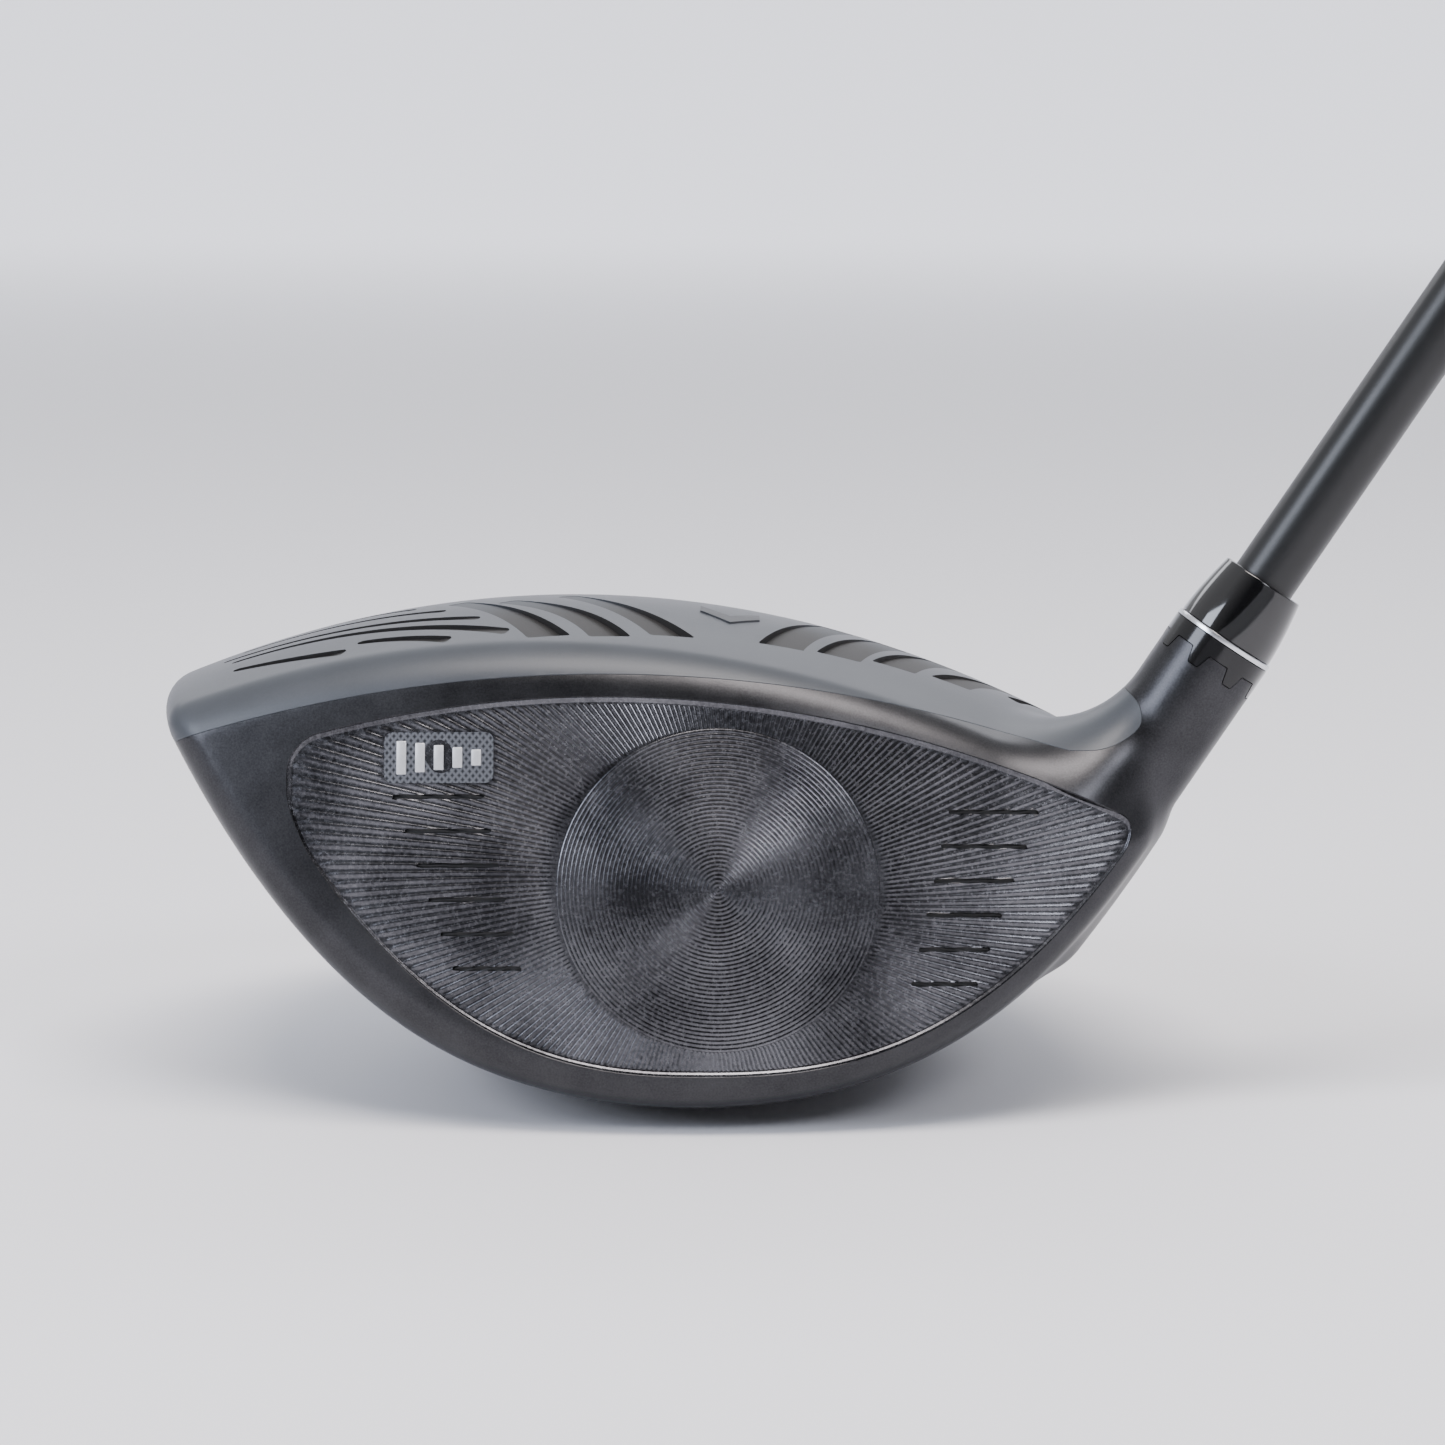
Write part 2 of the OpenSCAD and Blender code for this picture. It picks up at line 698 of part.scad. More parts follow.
body_shell();
face_plate();
crown_panel();
aero_trips_toe();
aero_trips_heel();
alignment_mark();
hosel_liner();
front_port();
rear_port();
sole_badge();
screw_washer();
hosel_screw();
front_weight_washer();
front_weight();
rear_weight_washer();
rear_weight();
hosel_sleeve();
sleeve_ring();
ferrule();
tip_plug();
shaft();
shaft_band();
grip_tape();
grip();
grip_cap();
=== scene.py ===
# A golf driver: the looks of every visible piece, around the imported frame.
# Pieces are shaped in millimetres and brought to metres as each is finished. Floor and lamps are in metres.
import math
import bmesh
import bpy
import numpy as np
from mathutils import Matrix, Vector


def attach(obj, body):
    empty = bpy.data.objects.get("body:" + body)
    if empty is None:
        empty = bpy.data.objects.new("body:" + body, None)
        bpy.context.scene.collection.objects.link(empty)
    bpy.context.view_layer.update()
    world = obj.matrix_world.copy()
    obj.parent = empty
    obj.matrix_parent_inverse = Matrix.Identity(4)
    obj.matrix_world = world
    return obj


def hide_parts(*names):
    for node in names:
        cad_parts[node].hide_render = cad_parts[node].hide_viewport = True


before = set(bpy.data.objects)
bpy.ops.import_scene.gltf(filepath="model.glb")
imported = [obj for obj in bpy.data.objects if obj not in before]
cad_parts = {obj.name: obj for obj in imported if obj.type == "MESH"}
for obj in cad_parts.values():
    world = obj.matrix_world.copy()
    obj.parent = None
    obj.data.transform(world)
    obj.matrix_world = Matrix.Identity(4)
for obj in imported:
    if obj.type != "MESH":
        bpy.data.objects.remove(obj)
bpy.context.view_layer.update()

# sizes of the whole club, in millimetres and degrees
club = {
    "lie": 56.4, "loft": 10.5,
    "ringPlace": (70, -21, 61.9),      # middle of the trim ring, on the hosel's axis
    "facePlace": (3.3, -38, 31.4),     # middle of the face
    "faceRadius": 305,
    "headMiddle": (0, 0, 34),
    "edgeRadius": 3.7,                 # where crown, bowl and face meet
    "hoselRadius": 7, "hoselFoot": -50, "hoselFootRadius": 5,
    "rimLevel": -2.6,                  # the hosel's end, along its axis from the trim ring
    "teeth": 8, "toothHeight": 2.1, "toothRoot": 2.6, "toothTip": 1.4,
}
lieAngle = math.radians(club["lie"])
loftAngle = math.radians(club["loft"])
ringPlace = np.array(club["ringPlace"], float)
facePlace = np.array(club["facePlace"], float)
alongHosel = np.array([math.cos(lieAngle), 0, math.sin(lieAngle)])
acrossHosel = np.array([math.sin(lieAngle), 0, -math.cos(lieAngle)])
faceUp = np.array([0, math.sin(loftAngle), math.cos(loftAngle)])
faceOut = np.array([0, -math.cos(loftAngle), math.sin(loftAngle)])
onHosel = Matrix.Translation(ringPlace) @ Matrix.Rotation(math.pi / 2 - lieAngle, 4, "Y")
onFace = Matrix.Translation(facePlace) @ Matrix.Rotation(math.pi / 2 - loftAngle, 4, "X")


# the head's shape: a crown dome over a deep bowl, cut off by the face's large sphere
dome = {"top": 65.3, "middleX": -16.6, "middleY": -3, "acrossRound": 262, "alongRound": 180}
bowl = {
    "toe": 72.4, "heel": 65.3, "front": 95, "back": 77,      # how far the rim lies from the middle
    "rimTop": 64, "rimRound": 166, "frontRim": 39.9,
    "plan": 1.92, "steep": 2.96,                             # powers of the plan and of the side's curve
}
least = 0.05     # keeps a division from reaching zero


# gaps are distances to a surface, negative inside
def ease(t):
    t = np.clip(t, 0, 1)
    return t * t * t * (t * (6 * t - 15) + 10)


def mix(a, b, t):
    return a + (b - a) * t


def rounded(a, b, radius):
    corner = np.hypot(np.maximum(a + radius, 0), np.maximum(b + radius, 0))
    return np.minimum(-radius, np.maximum(a, b)) + corner


def bowlReach(c, s):
    side = mix(bowl["toe"], bowl["heel"], ease((c + 1) / 2))
    depth = mix(bowl["front"], bowl["back"], ease((s + 1) / 2))
    power = bowl["plan"]
    return ((np.abs(c) / side) ** power + (np.abs(s) / depth) ** power) ** (-1 / power)


def bowlRim(c, s):
    far = bowlReach(c, s)
    side = np.where(c < 0, -bowl["toe"], bowl["heel"])
    top, across = bowl["rimTop"], dome["acrossRound"]
    behind = top - (far * c - dome["middleX"]) ** 2 / across - (far * s) ** 2 / bowl["rimRound"]
    ahead = mix(bowl["frontRim"], top - (side - dome["middleX"]) ** 2 / across, c * c)
    return np.where(s > 0, behind, ahead)


def bowlHeight(x, y):
    far = np.maximum(least, np.hypot(x, y))
    return bowlRim(x / far, y / far) * (far / bowlReach(x / far, y / far)) ** bowl["steep"]


def bowlGap(p):
    far = np.maximum(least, np.hypot(p[:, 0], p[:, 1]))
    high = bowlHeight(p[:, 0], p[:, 1])
    return (high - p[:, 2]) / np.sqrt(1 + (bowl["steep"] * high / far) ** 2)


def crownGap(p):
    across = (p[:, 0] - dome["middleX"]) / dome["acrossRound"]
    along = (p[:, 1] - dome["middleY"]) / dome["alongRound"]
    level = dome["top"] - dome["acrossRound"] * across ** 2 - dome["alongRound"] * along ** 2
    return (p[:, 2] - level) / np.sqrt(1 + 4 * across ** 2 + 4 * along ** 2)


def faceGap(p):
    return np.linalg.norm(p - facePlace + club["faceRadius"] * faceOut, axis=1) - club["faceRadius"]


def headGap(p):
    radius = club["edgeRadius"]
    return rounded(rounded(crownGap(p), bowlGap(p), radius), faceGap(p), radius)


def hoselGap(p):
    offset = p - ringPlace
    along = offset @ alongHosel
    radial = np.linalg.norm(offset - along[:, None] * alongHosel, axis=1)
    return rounded(radial - club["hoselRadius"], club["hoselFoot"] - along, club["hoselFootRadius"])


# head and hosel together, with a fillet between them: wide to the crown, tight to the heel
fillet = {"toeSide": 13.5, "heelSide": 2.5, "from": -8, "over": 15}


def skinGap(p):
    head, hosel = headGap(p), hoselGap(p)
    across = (p - ringPlace) @ acrossHosel
    share = ease((across - fillet["from"]) / fillet["over"])
    radius = mix(fillet["toeSide"], fillet["heelSide"], share)
    a, b = np.maximum(radius - head, 0), np.maximum(radius - hosel, 0)
    return np.maximum(radius, np.minimum(head, hosel)) - np.hypot(a, b)


def slope(gap, p, step=0.02):
    grad = np.empty_like(p)
    for k in range(3):
        aside = np.zeros(3)
        aside[k] = step
        grad[:, k] = (gap(p + aside) - gap(p - aside)) / (2 * step)
    return grad


def onto(gap, p, rounds=4):
    for _ in range(rounds):
        grad = slope(gap, p)
        p = p - (gap(p) / np.maximum(1e-6, (grad ** 2).sum(1)))[:, None] * grad
    return p


# where the crown panel lies: over the toe in front, and with a rounded end on the hosel's fillet
seam = {
    "ovalX": -4, "ovalY": 22, "ovalWide": 64, "ovalAhead": 54.5, "ovalBehind": 60,
    "frontTop": 28, "frontX": -15, "frontRound": 380,        # the edge along the face's top
    "heelFrom": 20, "heelTop": 18.2, "toeTo": -30,           # both across from the oval's middle
    "frontAtToe": 8, "frontElsewhere": -14, "off": -9,       # the face's edge counts in front of these
    "inset": 1.6, "overlap": 5,                              # from the rim, and past it over the toe
    "toeFrom": 48, "toeOver": 14, "toeBack": 8,
    "neckTop": -12.6, "neckSide": -3.5, "neckRound": 3.5, "neckFrontRound": 4, "neckLow": -48,
    "ovalTop": -14,
}


def seamGap(p):
    onPlane, fromRing = p - facePlace, p - ringPlace
    alongNeck, acrossNeck = fromRing @ alongHosel, fromRing @ acrossHosel
    x, y = p[:, 0] - seam["ovalX"], p[:, 1] - seam["ovalY"]
    depth = np.where(y < 0, seam["ovalAhead"], seam["ovalBehind"])
    oval = ((np.abs(x) / seam["ovalWide"]) ** 3 + (np.abs(y) / depth) ** 3) ** (1 / 3)
    level = np.maximum(seam["frontTop"] - (onPlane[:, 0] - seam["frontX"]) ** 2 / seam["frontRound"],
                       np.where(x > seam["heelFrom"], seam["heelTop"], 0))
    reach = np.where(x < seam["toeTo"], seam["frontAtToe"], seam["frontElsewhere"])
    front = np.where(p[:, 1] < reach, level - onPlane @ faceUp, seam["off"])
    overToe = ease((-p[:, 0] - seam["toeFrom"]) / seam["toeOver"])
    overToe = overToe * ease((seam["toeBack"] - p[:, 1]) / seam["toeBack"])
    gap = np.maximum(bowlGap(p) + mix(seam["inset"], -seam["overlap"], overToe), front)
    neckEnd = rounded(alongNeck - seam["neckTop"], acrossNeck - seam["neckSide"], seam["neckRound"])
    neckEnd = np.maximum(rounded(neckEnd, front, seam["neckFrontRound"]), seam["neckLow"] - alongNeck)
    oval = np.where(x < 0, -1, (oval - 1) * seam["ovalAhead"])
    return np.maximum(gap, np.minimum(np.maximum(oval, alongNeck - seam["ovalTop"]), neckEnd))


# the face plate's outline, in the face's own plane
outline = {"top": 25, "topX": -15, "topRound": 300, "low": -24, "lowX": -2, "lowPower": 2.56,
           "toeRise": 0.0012, "heelRise": 0.00102, "corner": 5, "toe": 56.2, "toeCorner": 4, "behind": 8}


def outlineGap(x, y):
    top = y - outline["top"] + (x - outline["topX"]) ** 2 / outline["topRound"]
    rise = np.where(x < outline["lowX"], outline["toeRise"], outline["heelRise"])
    low = outline["low"] + rise * np.abs(x - outline["lowX"]) ** outline["lowPower"] - y
    return rounded(rounded(top, low, outline["corner"]), -x - outline["toe"], outline["toeCorner"])


def onFacePlane(p):
    offset = p - facePlace
    return offset[:, 0], offset @ faceUp, offset @ faceOut


def insertGap(p):
    x, y, out = onFacePlane(p)
    return np.maximum(outlineGap(x, y), -outline["behind"] - out)


# mesh helpers
def places(bm):
    return np.array([v.co for v in bm.verts], float)


def move(bm, points):
    for v, p in zip(bm.verts, points):
        v.co = p


# cuts a mesh along the line where a gap is zero: near corners snap to it, the rest is split
def cutAlong(bm, gap, snap=0.22):
    bm.verts.index_update()
    bm.verts.ensure_lookup_table()
    value = gap(places(bm))
    edges = [e for e in bm.edges if value[e.verts[0].index] * value[e.verts[1].index] < 0]
    near = {}
    for e in edges:
        a, b = e.verts
        t = value[a.index] / (value[a.index] - value[b.index])
        for v, other, part in ((a, b, t), (b, a, 1 - t)):
            if part < snap and part < near.get(v, (1, None))[0]:
                near[v] = (part, v.co.lerp(other.co, part))
    for v, (part, spot) in near.items():
        v.co = spot
        value[v.index] = 0
    onLine = list(near)
    for e in edges:
        a, b = e.verts
        if value[a.index] * value[b.index] < 0:
            t = value[a.index] / (value[a.index] - value[b.index])
            onLine.append(bmesh.utils.edge_split(e, a, t)[1])
    bmesh.ops.connect_verts(bm, verts=onLine)


def facesWhere(bm, gap, inside=True):
    bm.faces.ensure_lookup_table()
    middles = np.array([f.calc_center_median() for f in bm.faces], float)
    keep = gap(middles) < 0 if inside else gap(middles) > 0
    return [f for f, yes in zip(bm.faces, keep) if yes]


def deleteWhere(bm, gap, inside=True):
    bmesh.ops.delete(bm, geom=facesWhere(bm, gap, inside), context="FACES")


def borderNear(bm, gap, within=0.35):
    border = [e for e in bm.edges if len(e.link_faces) == 1]
    if not border:
        return []
    middles = np.array([(e.verts[0].co + e.verts[1].co) / 2 for e in border], float)
    return [e for e, value in zip(border, gap(middles)) if abs(value) < within]


# turns a border inwards: each step goes so far towards the gap's zero side, and so far down
def turnIn(bm, edges, gap, skin, steps, outside=True):
    if not edges:
        return
    for e in edges:
        e.smooth = False
    for aside, down in steps:
        made = bmesh.ops.extrude_edge_only(bm, edges=edges)["geom"]
        verts = [g for g in made if isinstance(g, bmesh.types.BMVert)]
        edges = [g for g in made if isinstance(g, bmesh.types.BMEdge)]
        p = np.array([v.co for v in verts], float)
        out = slope(skin, p)
        out /= np.linalg.norm(out, axis=1)[:, None]
        side = slope(gap, p)
        side -= (side * out).sum(1)[:, None] * out
        side /= np.maximum(1e-6, np.linalg.norm(side, axis=1))[:, None]
        p += side * (-aside if outside else aside) - out * down
        for v, q in zip(verts, p):
            v.co = q


# lowers the faces inside a gap to a floor, with walls round them
def sink(bm, gap, down, skin, mark=None):
    inner = facesWhere(bm, gap)
    innerVerts = {v for f in inner for v in f.verts}
    bmesh.ops.split(bm, geom=inner + list(innerVerts) + list({e for f in inner for e in f.edges}))
    inner = facesWhere(bm, gap)
    innerSet = set(inner)
    rimEdges = [e for e in bm.edges if len(e.link_faces) == 1 and e.link_faces[0] not in innerSet]
    middles = np.array([(e.verts[0].co + e.verts[1].co) / 2 for e in rimEdges], float)
    rimEdges = [e for e, value in zip(rimEdges, gap(middles)) if abs(value) < 0.3]
    for e in rimEdges:
        e.smooth = False
    made = bmesh.ops.extrude_edge_only(bm, edges=rimEdges)["geom"]
    walls = [g for g in made if isinstance(g, bmesh.types.BMFace)]
    lowered = {v for f in inner for v in f.verts} | {g for g in made if isinstance(g, bmesh.types.BMVert)}
    lowered = list(lowered)
    p = np.array([v.co for v in lowered], float)
    out = slope(skin, p)
    out /= np.linalg.norm(out, axis=1)[:, None]
    for v, q in zip(lowered, p - out * down(p)[:, None]):
        v.co = q
    bmesh.ops.remove_doubles(bm, verts=lowered, dist=0.002)
    if mark is not None:
        for f in list(innerSet) + walls:
            if f.is_valid:
                f.material_index = mark
    for f in walls:
        if f.is_valid:
            for e in f.edges:
                e.smooth = False


def finish(bm, name, body, materials, recalc=False):
    bmesh.ops.dissolve_degenerate(bm, edges=bm.edges, dist=1e-5)
    if recalc:
        bmesh.ops.recalc_face_normals(bm, faces=bm.faces)
    bmesh.ops.scale(bm, vec=(0.001, 0.001, 0.001), verts=bm.verts)
    for f in bm.faces:
        f.smooth = True
    mesh = bpy.data.meshes.new(name)
    bm.to_mesh(mesh)
    bm.free()
    piece = bpy.data.objects.new(name, mesh)
    bpy.context.scene.collection.objects.link(piece)
    for material in materials:
        mesh.materials.append(material)
    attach(piece, body)
    return piece


# material helpers
def toLinear(code):
    parts = [int(code[i:i + 2], 16) / 255 for i in (1, 3, 5)]
    return [c / 12.92 if c <= 0.04045 else ((c + 0.055) / 1.055) ** 2.4 for c in parts] + [1]


def addNode(tree, kind, settings=None, links=None):
    made = tree.nodes.new(kind)
    for key, value in (settings or {}).items():
        if key == "stops":
            for stop, (at, code) in zip(made.color_ramp.elements, value):
                stop.position = at
                stop.color = toLinear(code)
        elif isinstance(key, int) or key in made.inputs:
            made.inputs[key].default_value = value
        else:
            setattr(made, key, value)
    for key, source in (links or {}).items():
        tree.links.new(source, made.inputs[key])
    return made


def newFinish(name, **settings):
    material = bpy.data.materials.new(name)
    material.use_nodes = True
    tree = material.node_tree
    shader = tree.nodes["Principled BSDF"]
    for key, value in settings.items():
        shader.inputs[key.replace("_", " ")].default_value = value
    place = addNode(tree, "ShaderNodeTexCoord").outputs["Object"]
    return material, tree, shader, place


def grain(size):
    return 1000 / size     # a noise scale whose grains are this many millimetres across


# a finish whose colour and roughness drift, with a fine grain in its surface
def grained(name, light, dark, rough, spread, fine, depth, drift=9.0, **settings):
    material, tree, shader, place = newFinish(name, **settings)
    small = addNode(tree, "ShaderNodeTexNoise", {"Scale": grain(fine), "Detail": 3, "Roughness": 0.6},
                    {"Vector": place}).outputs[0]
    broad = addNode(tree, "ShaderNodeTexNoise", {"Scale": grain(drift), "Detail": 4, "Roughness": 0.55},
                    {"Vector": place}).outputs[0]
    both = addNode(tree, "ShaderNodeMath", {"operation": "ADD"}, {0: small, 1: broad}).outputs[0]
    half = addNode(tree, "ShaderNodeMath", {"operation": "MULTIPLY", 1: 0.5}, {0: both}).outputs[0]
    colour = addNode(tree, "ShaderNodeValToRGB", {"stops": [(0.3, dark), (0.7, light)]}, {0: half})
    sheen = addNode(tree, "ShaderNodeMapRange", {1: 0.3, 2: 0.7, 3: rough - spread, 4: rough + spread},
                    {0: half})
    bump = addNode(tree, "ShaderNodeBump", {"Strength": 0.5, "Distance": depth / 1000}, {"Height": small})
    tree.links.new(colour.outputs[0], shader.inputs["Base Color"])
    tree.links.new(sheen.outputs[0], shader.inputs["Roughness"])
    tree.links.new(bump.outputs[0], shader.inputs["Normal"])
    return material


# coated titanium: a dark vapour coat over bead-blasted metal, so a satin sheen with a sandy sparkle
titaniumBlasted = grained("titaniumBlastedCoated", "#48484a", "#313133", 0.34, 0.05, 0.25, 0.02,
                          Metallic=1.0)
# carbon composite under a matte grey lacquer: even slate, a soft broad shine and a very fine orange peel
compositeLacquered = grained("compositeMatteLacquered", "#3b3f45", "#33373c", 0.46, 0.04, 0.3, 0.004,
                             Metallic=0.2, Coat_Weight=0.15, Coat_Roughness=0.3)


# the same lacquer, charcoal and rough in the recesses, fading to the crown's grey towards the rear: the
# charcoal is the recesses' own colour, and the fade to grey behind is partly painted reflection
def charcoalFinish():
    material, tree, shader, place = newFinish("compositeCharcoalReflectionFaded", Roughness=0.58, Metallic=0.0)
    share = addNode(tree, "ShaderNodeAttribute", {"attribute_name": "charcoalShareWithReflection"}).outputs["Fac"]
    fine = addNode(tree, "ShaderNodeTexNoise", {"Scale": grain(0.25), "Detail": 3},
                   {"Vector": place}).outputs[0]
    charcoalTone, plain = [
        addNode(tree, "ShaderNodeValToRGB", {"stops": [(0.3, dark), (0.7, light)]}, {0: fine}).outputs[0]
        for dark, light in (("#131211", "#1d1b1a"), ("#33373c", "#3b3f45"))
    ]
    # charcoal mixed towards the crown's grey behind: the lighter rear is partly painted reflection
    both = addNode(tree, "ShaderNodeMix", {"data_type": "RGBA"}, {0: share, 6: plain, 7: charcoalTone})
    bump = addNode(tree, "ShaderNodeBump", {"Strength": 0.5, "Distance": 0.012 / 1000}, {"Height": fine})
    tree.links.new(both.outputs[2], shader.inputs["Base Color"])
    tree.links.new(bump.outputs[0], shader.inputs["Normal"])
    return material


compositeCharcoal = charcoalFinish()
# charcoal ink on the crown, for the alignment mark
compositeInked = grained("compositeCharcoalInked", "#3a3c40", "#2f3135", 0.5, 0.05, 0.3, 0.005)
# black anodised aluminium: a deep gloss black, with the faintest turning marks under it
aluminiumAnodised = grained("aluminiumBlackAnodised", "#0c0c0e", "#08080a", 0.16, 0.03, 0.5, 0.001,
                            Metallic=0.6, Coat_Weight=0.5, Coat_Roughness=0.08)
# bright aluminium, turned: silvery, with rings that follow the lathe
aluminiumTurned = grained("aluminiumBrightTurned", "#e4e5e8", "#c9cbcf", 0.24, 0.05, 0.4, 0.003, Metallic=1.0)
# cellulose acetate, turned and polished: wet-looking black plastic
acetatePolished = grained("acetatePolished", "#0b0b0c", "#070708", 0.09, 0.03, 0.6, 0.001,
                          IOR=1.48, Coat_Weight=0.6, Coat_Roughness=0.04)
# graphite under a matte black clear: soft long highlight, the winding faintly seen
graphiteLacquered = grained("graphiteMatteLacquered", "#0b0c0e", "#070809", 0.36, 0.04, 0.35, 0.003,
                            drift=20.0, IOR=1.5)
# dark paint flowed into the score lines and grooves
enamelFilled = grained("enamelBlackFilled", "#0a0a0b", "#050506", 0.5, 0.08, 0.3, 0.01)
# moulded rubber: dull black, faintly mottled
rubberMoulded = grained("rubberMoulded", "#1d1d1f", "#151516", 0.72, 0.06, 0.5, 0.02)
steelMachined = grained("steelMachined", "#9c9ea2", "#85878b", 0.28, 0.06, 0.3, 0.004, Metallic=1.0)
tungstenTurned = grained("tungstenTurned", "#7d7c7b", "#63625f", 0.32, 0.07, 0.3, 0.005, Metallic=1.0)
nitrileMoulded = grained("nitrileMoulded", "#1a1a1b", "#111112", 0.6, 0.06, 0.4, 0.01)
badgeAnodised = grained("badgeSatinAnodised", "#8d9095", "#74777c", 0.34, 0.05, 0.25, 0.006, Metallic=1.0)
enamelSilver = grained("enamelSilverPrinted", "#c9cacc", "#b4b6ba", 0.4, 0.06, 0.3, 0.004, Metallic=0.4)
foamCast = grained("foamCast", "#43794c", "#35653e", 0.85, 0.05, 0.6, 0.05)
tapePaper = grained("tapeCrepePaper", "#d8cfae", "#c2b892", 0.8, 0.06, 0.5, 0.03)


# milled titanium under a black coat: the cutter's cross marks glint across each ridge
def milledFinish():
    material, tree, shader, place = newFinish("titaniumMilledCoated", Metallic=1.0)
    fine = addNode(tree, "ShaderNodeTexNoise", {"Scale": grain(0.5), "Detail": 2, "Roughness": 0.7},
                   {"Vector": place}).outputs[0]
    broad = addNode(tree, "ShaderNodeTexNoise", {"Scale": grain(14), "Detail": 4},
                    {"Vector": place}).outputs[0]
    both = addNode(tree, "ShaderNodeMath", {"operation": "MULTIPLY_ADD", 1: 0.6}, {0: fine, 2: broad})
    colour = addNode(tree, "ShaderNodeValToRGB", {"stops": [(0.6, "#343437"), (1.0, "#68686c")]},
                     {0: both.outputs[0]})
    sheen = addNode(tree, "ShaderNodeMapRange", {1: 0.3, 2: 0.7, 3: 0.2, 4: 0.3}, {0: fine})
    bump = addNode(tree, "ShaderNodeBump", {"Strength": 0.35, "Distance": 0.01 / 1000}, {"Height": fine})
    tree.links.new(colour.outputs[0], shader.inputs["Base Color"])
    tree.links.new(sheen.outputs[0], shader.inputs["Roughness"])
    tree.links.new(bump.outputs[0], shader.inputs["Normal"])
    return material


titaniumMilled = milledFinish()
print("finishes made")

# the head's blank: one even skin over crown, bowl, face and hosel
blank = {"voxel": 0.8, "relax": 3, "cutLevel": -9}


def headBlank():
    bm = bmesh.new()
    bmesh.ops.create_icosphere(bm, subdivisions=6, radius=1)
    ways = places(bm)
    middle = np.array(club["headMiddle"], float)
    near, far = np.zeros(len(ways)), np.full(len(ways), 110.0)
    for _ in range(26):
        half = (near + far) / 2
        inside = headGap(middle + ways * half[:, None]) < 0
        near, far = np.where(inside, half, near), np.where(inside, far, half)
    move(bm, middle + ways * near[:, None])
    top, low = 4, -44
    radius = club["hoselRadius"]
    bmesh.ops.create_cone(bm, cap_ends=True, segments=96, radius1=radius, radius2=radius, depth=top - low,
                          matrix=onHosel @ Matrix.Translation((0, 0, (top + low) / 2)))
    mesh = bpy.data.meshes.new("blank")
    bm.to_mesh(mesh)
    bm.free()
    rough = bpy.data.objects.new("blank", mesh)
    bpy.context.scene.collection.objects.link(rough)
    remesh = rough.modifiers.new("even", "REMESH")
    remesh.mode = "VOXEL"
    remesh.voxel_size = blank["voxel"]
    even = bpy.data.meshes.new_from_object(rough.evaluated_get(bpy.context.evaluated_depsgraph_get()))
    bpy.data.objects.remove(rough)
    count = len(even.vertices)
    p = np.empty(count * 3)
    even.vertices.foreach_get("co", p)
    p = p.reshape(-1, 3)
    pairs = np.empty(len(even.edges) * 2, int)
    even.edges.foreach_get("vertices", pairs)
    pairs = pairs.reshape(-1, 2)
    links = np.bincount(pairs.ravel(), minlength=count)[:, None]
    fixed = ((p - ringPlace) @ alongHosel > -2)[:, None]     # the hosel's end is cut off later
    for _ in range(blank["relax"]):
        for _ in range(2):
            total = np.zeros_like(p)
            for k in range(3):
                total[:, k] = (np.bincount(pairs[:, 0], p[pairs[:, 1], k], count)
                               + np.bincount(pairs[:, 1], p[pairs[:, 0], k], count))
            p = np.where(fixed, p, mix(p, total / links, 0.6))
        p = np.where(fixed, p, onto(skinGap, p))
    even.vertices.foreach_set("co", p.ravel())
    bm = bmesh.new()
    bm.from_mesh(even)
    bpy.data.meshes.remove(even)
    bmesh.ops.bisect_plane(bm, geom=bm.verts[:] + bm.edges[:] + bm.faces[:], clear_outer=True,
                           plane_co=ringPlace + alongHosel * blank["cutLevel"], plane_no=alongHosel)
    print("head blank:", len(bm.faces), "faces")
    return bm


wholeHead = headBlank()

# crown panel, with its recessed wedges and slits
crown = {
    "seamGap": 0.05,
    # each recess: front middle x, y; rear end x, y; half widths there; how far the line bows aside; depth
    "wedges": [
        (-2.7, -22.4, -17.5, -0.5, 2.8, 1.5, 0.8, 1.2),
        (-10.9, -24.2, -25.5, -4.5, 2.75, 1.5, 1.6, 1.2),
        (-18.9, -24.5, -32.5, -1.5, 2.75, 1.4, 0.8, 1.2),
        (11.6, -19.6, 20, 4, 2.8, 2.2, -0.5, 1.2),
        (19.3, -17.9, 27.5, 4, 2.75, 2.1, -0.5, 1.1),
        (26.8, -14.7, 35, 5, 2.7, 1.9, -0.5, 1.0),
        (34.6, -12.0, 43, 4, 2.4, 1.4, -0.6, 0.8),
    ],
    "slits": [
        (-24.4, -22.0, -62.5, -8.8, 1.2, 0.5, 1.8, 0.6),
        (-28.5, -14.8, -64, -5.2, 0.9, 0.5, 1.0, 0.5),
        (-33.5, -7.6, -62, -0.5, 0.8, 0.5, 1.0, 0.5),
        (-38, -1, -58, 6, 0.8, 0.5, 1.0, 0.5),
        (-32.0, -23.2, -44.5, -18.2, 1.2, 0.7, 0.5, 0.6),
        (-46.0, -21.0, -61.5, -14.6, 1.1, 0.6, -0.3, 0.6),
        (43.5, -4.5, 52, 8, 1.1, 0.6, -1.0, 0.5),
    ],
}


# a recess's own frame: how far along it a point lies, from 0 in front to 1 behind, and aside
def recessFrame(p, recess):
    x0, y0, x1, y1, wide0, wide1, bow, deep = recess
    start, run = np.array([x0, y0]), np.array([x1 - x0, y1 - y0])
    length = np.hypot(*run)
    run = run / length
    offset = p[:, :2] - start
    along = offset @ run
    t = along / length
    aside = offset @ np.array([run[1], -run[0]]) - bow * 4 * t * (1 - t)
    return t, along, aside, length


def wedgeGap(p, recess):
    t, along, aside, length = recessFrame(p, recess)
    half = mix(recess[4], recess[5], t)
    fronted = recess[1] - p[:, 1] + (p[:, 0] - recess[0]) * 0.12      # the front edge runs across the crown
    return rounded(rounded(np.abs(aside) - half, fronted, 0.35), along - length, 0.6)


def slitGap(p, recess):
    t, along, aside, length = recessFrame(p, recess)
    half = mix(recess[4], recess[5], t)
    return rounded(np.abs(aside) - half, np.abs(along - length / 2) - length / 2, 0.7)


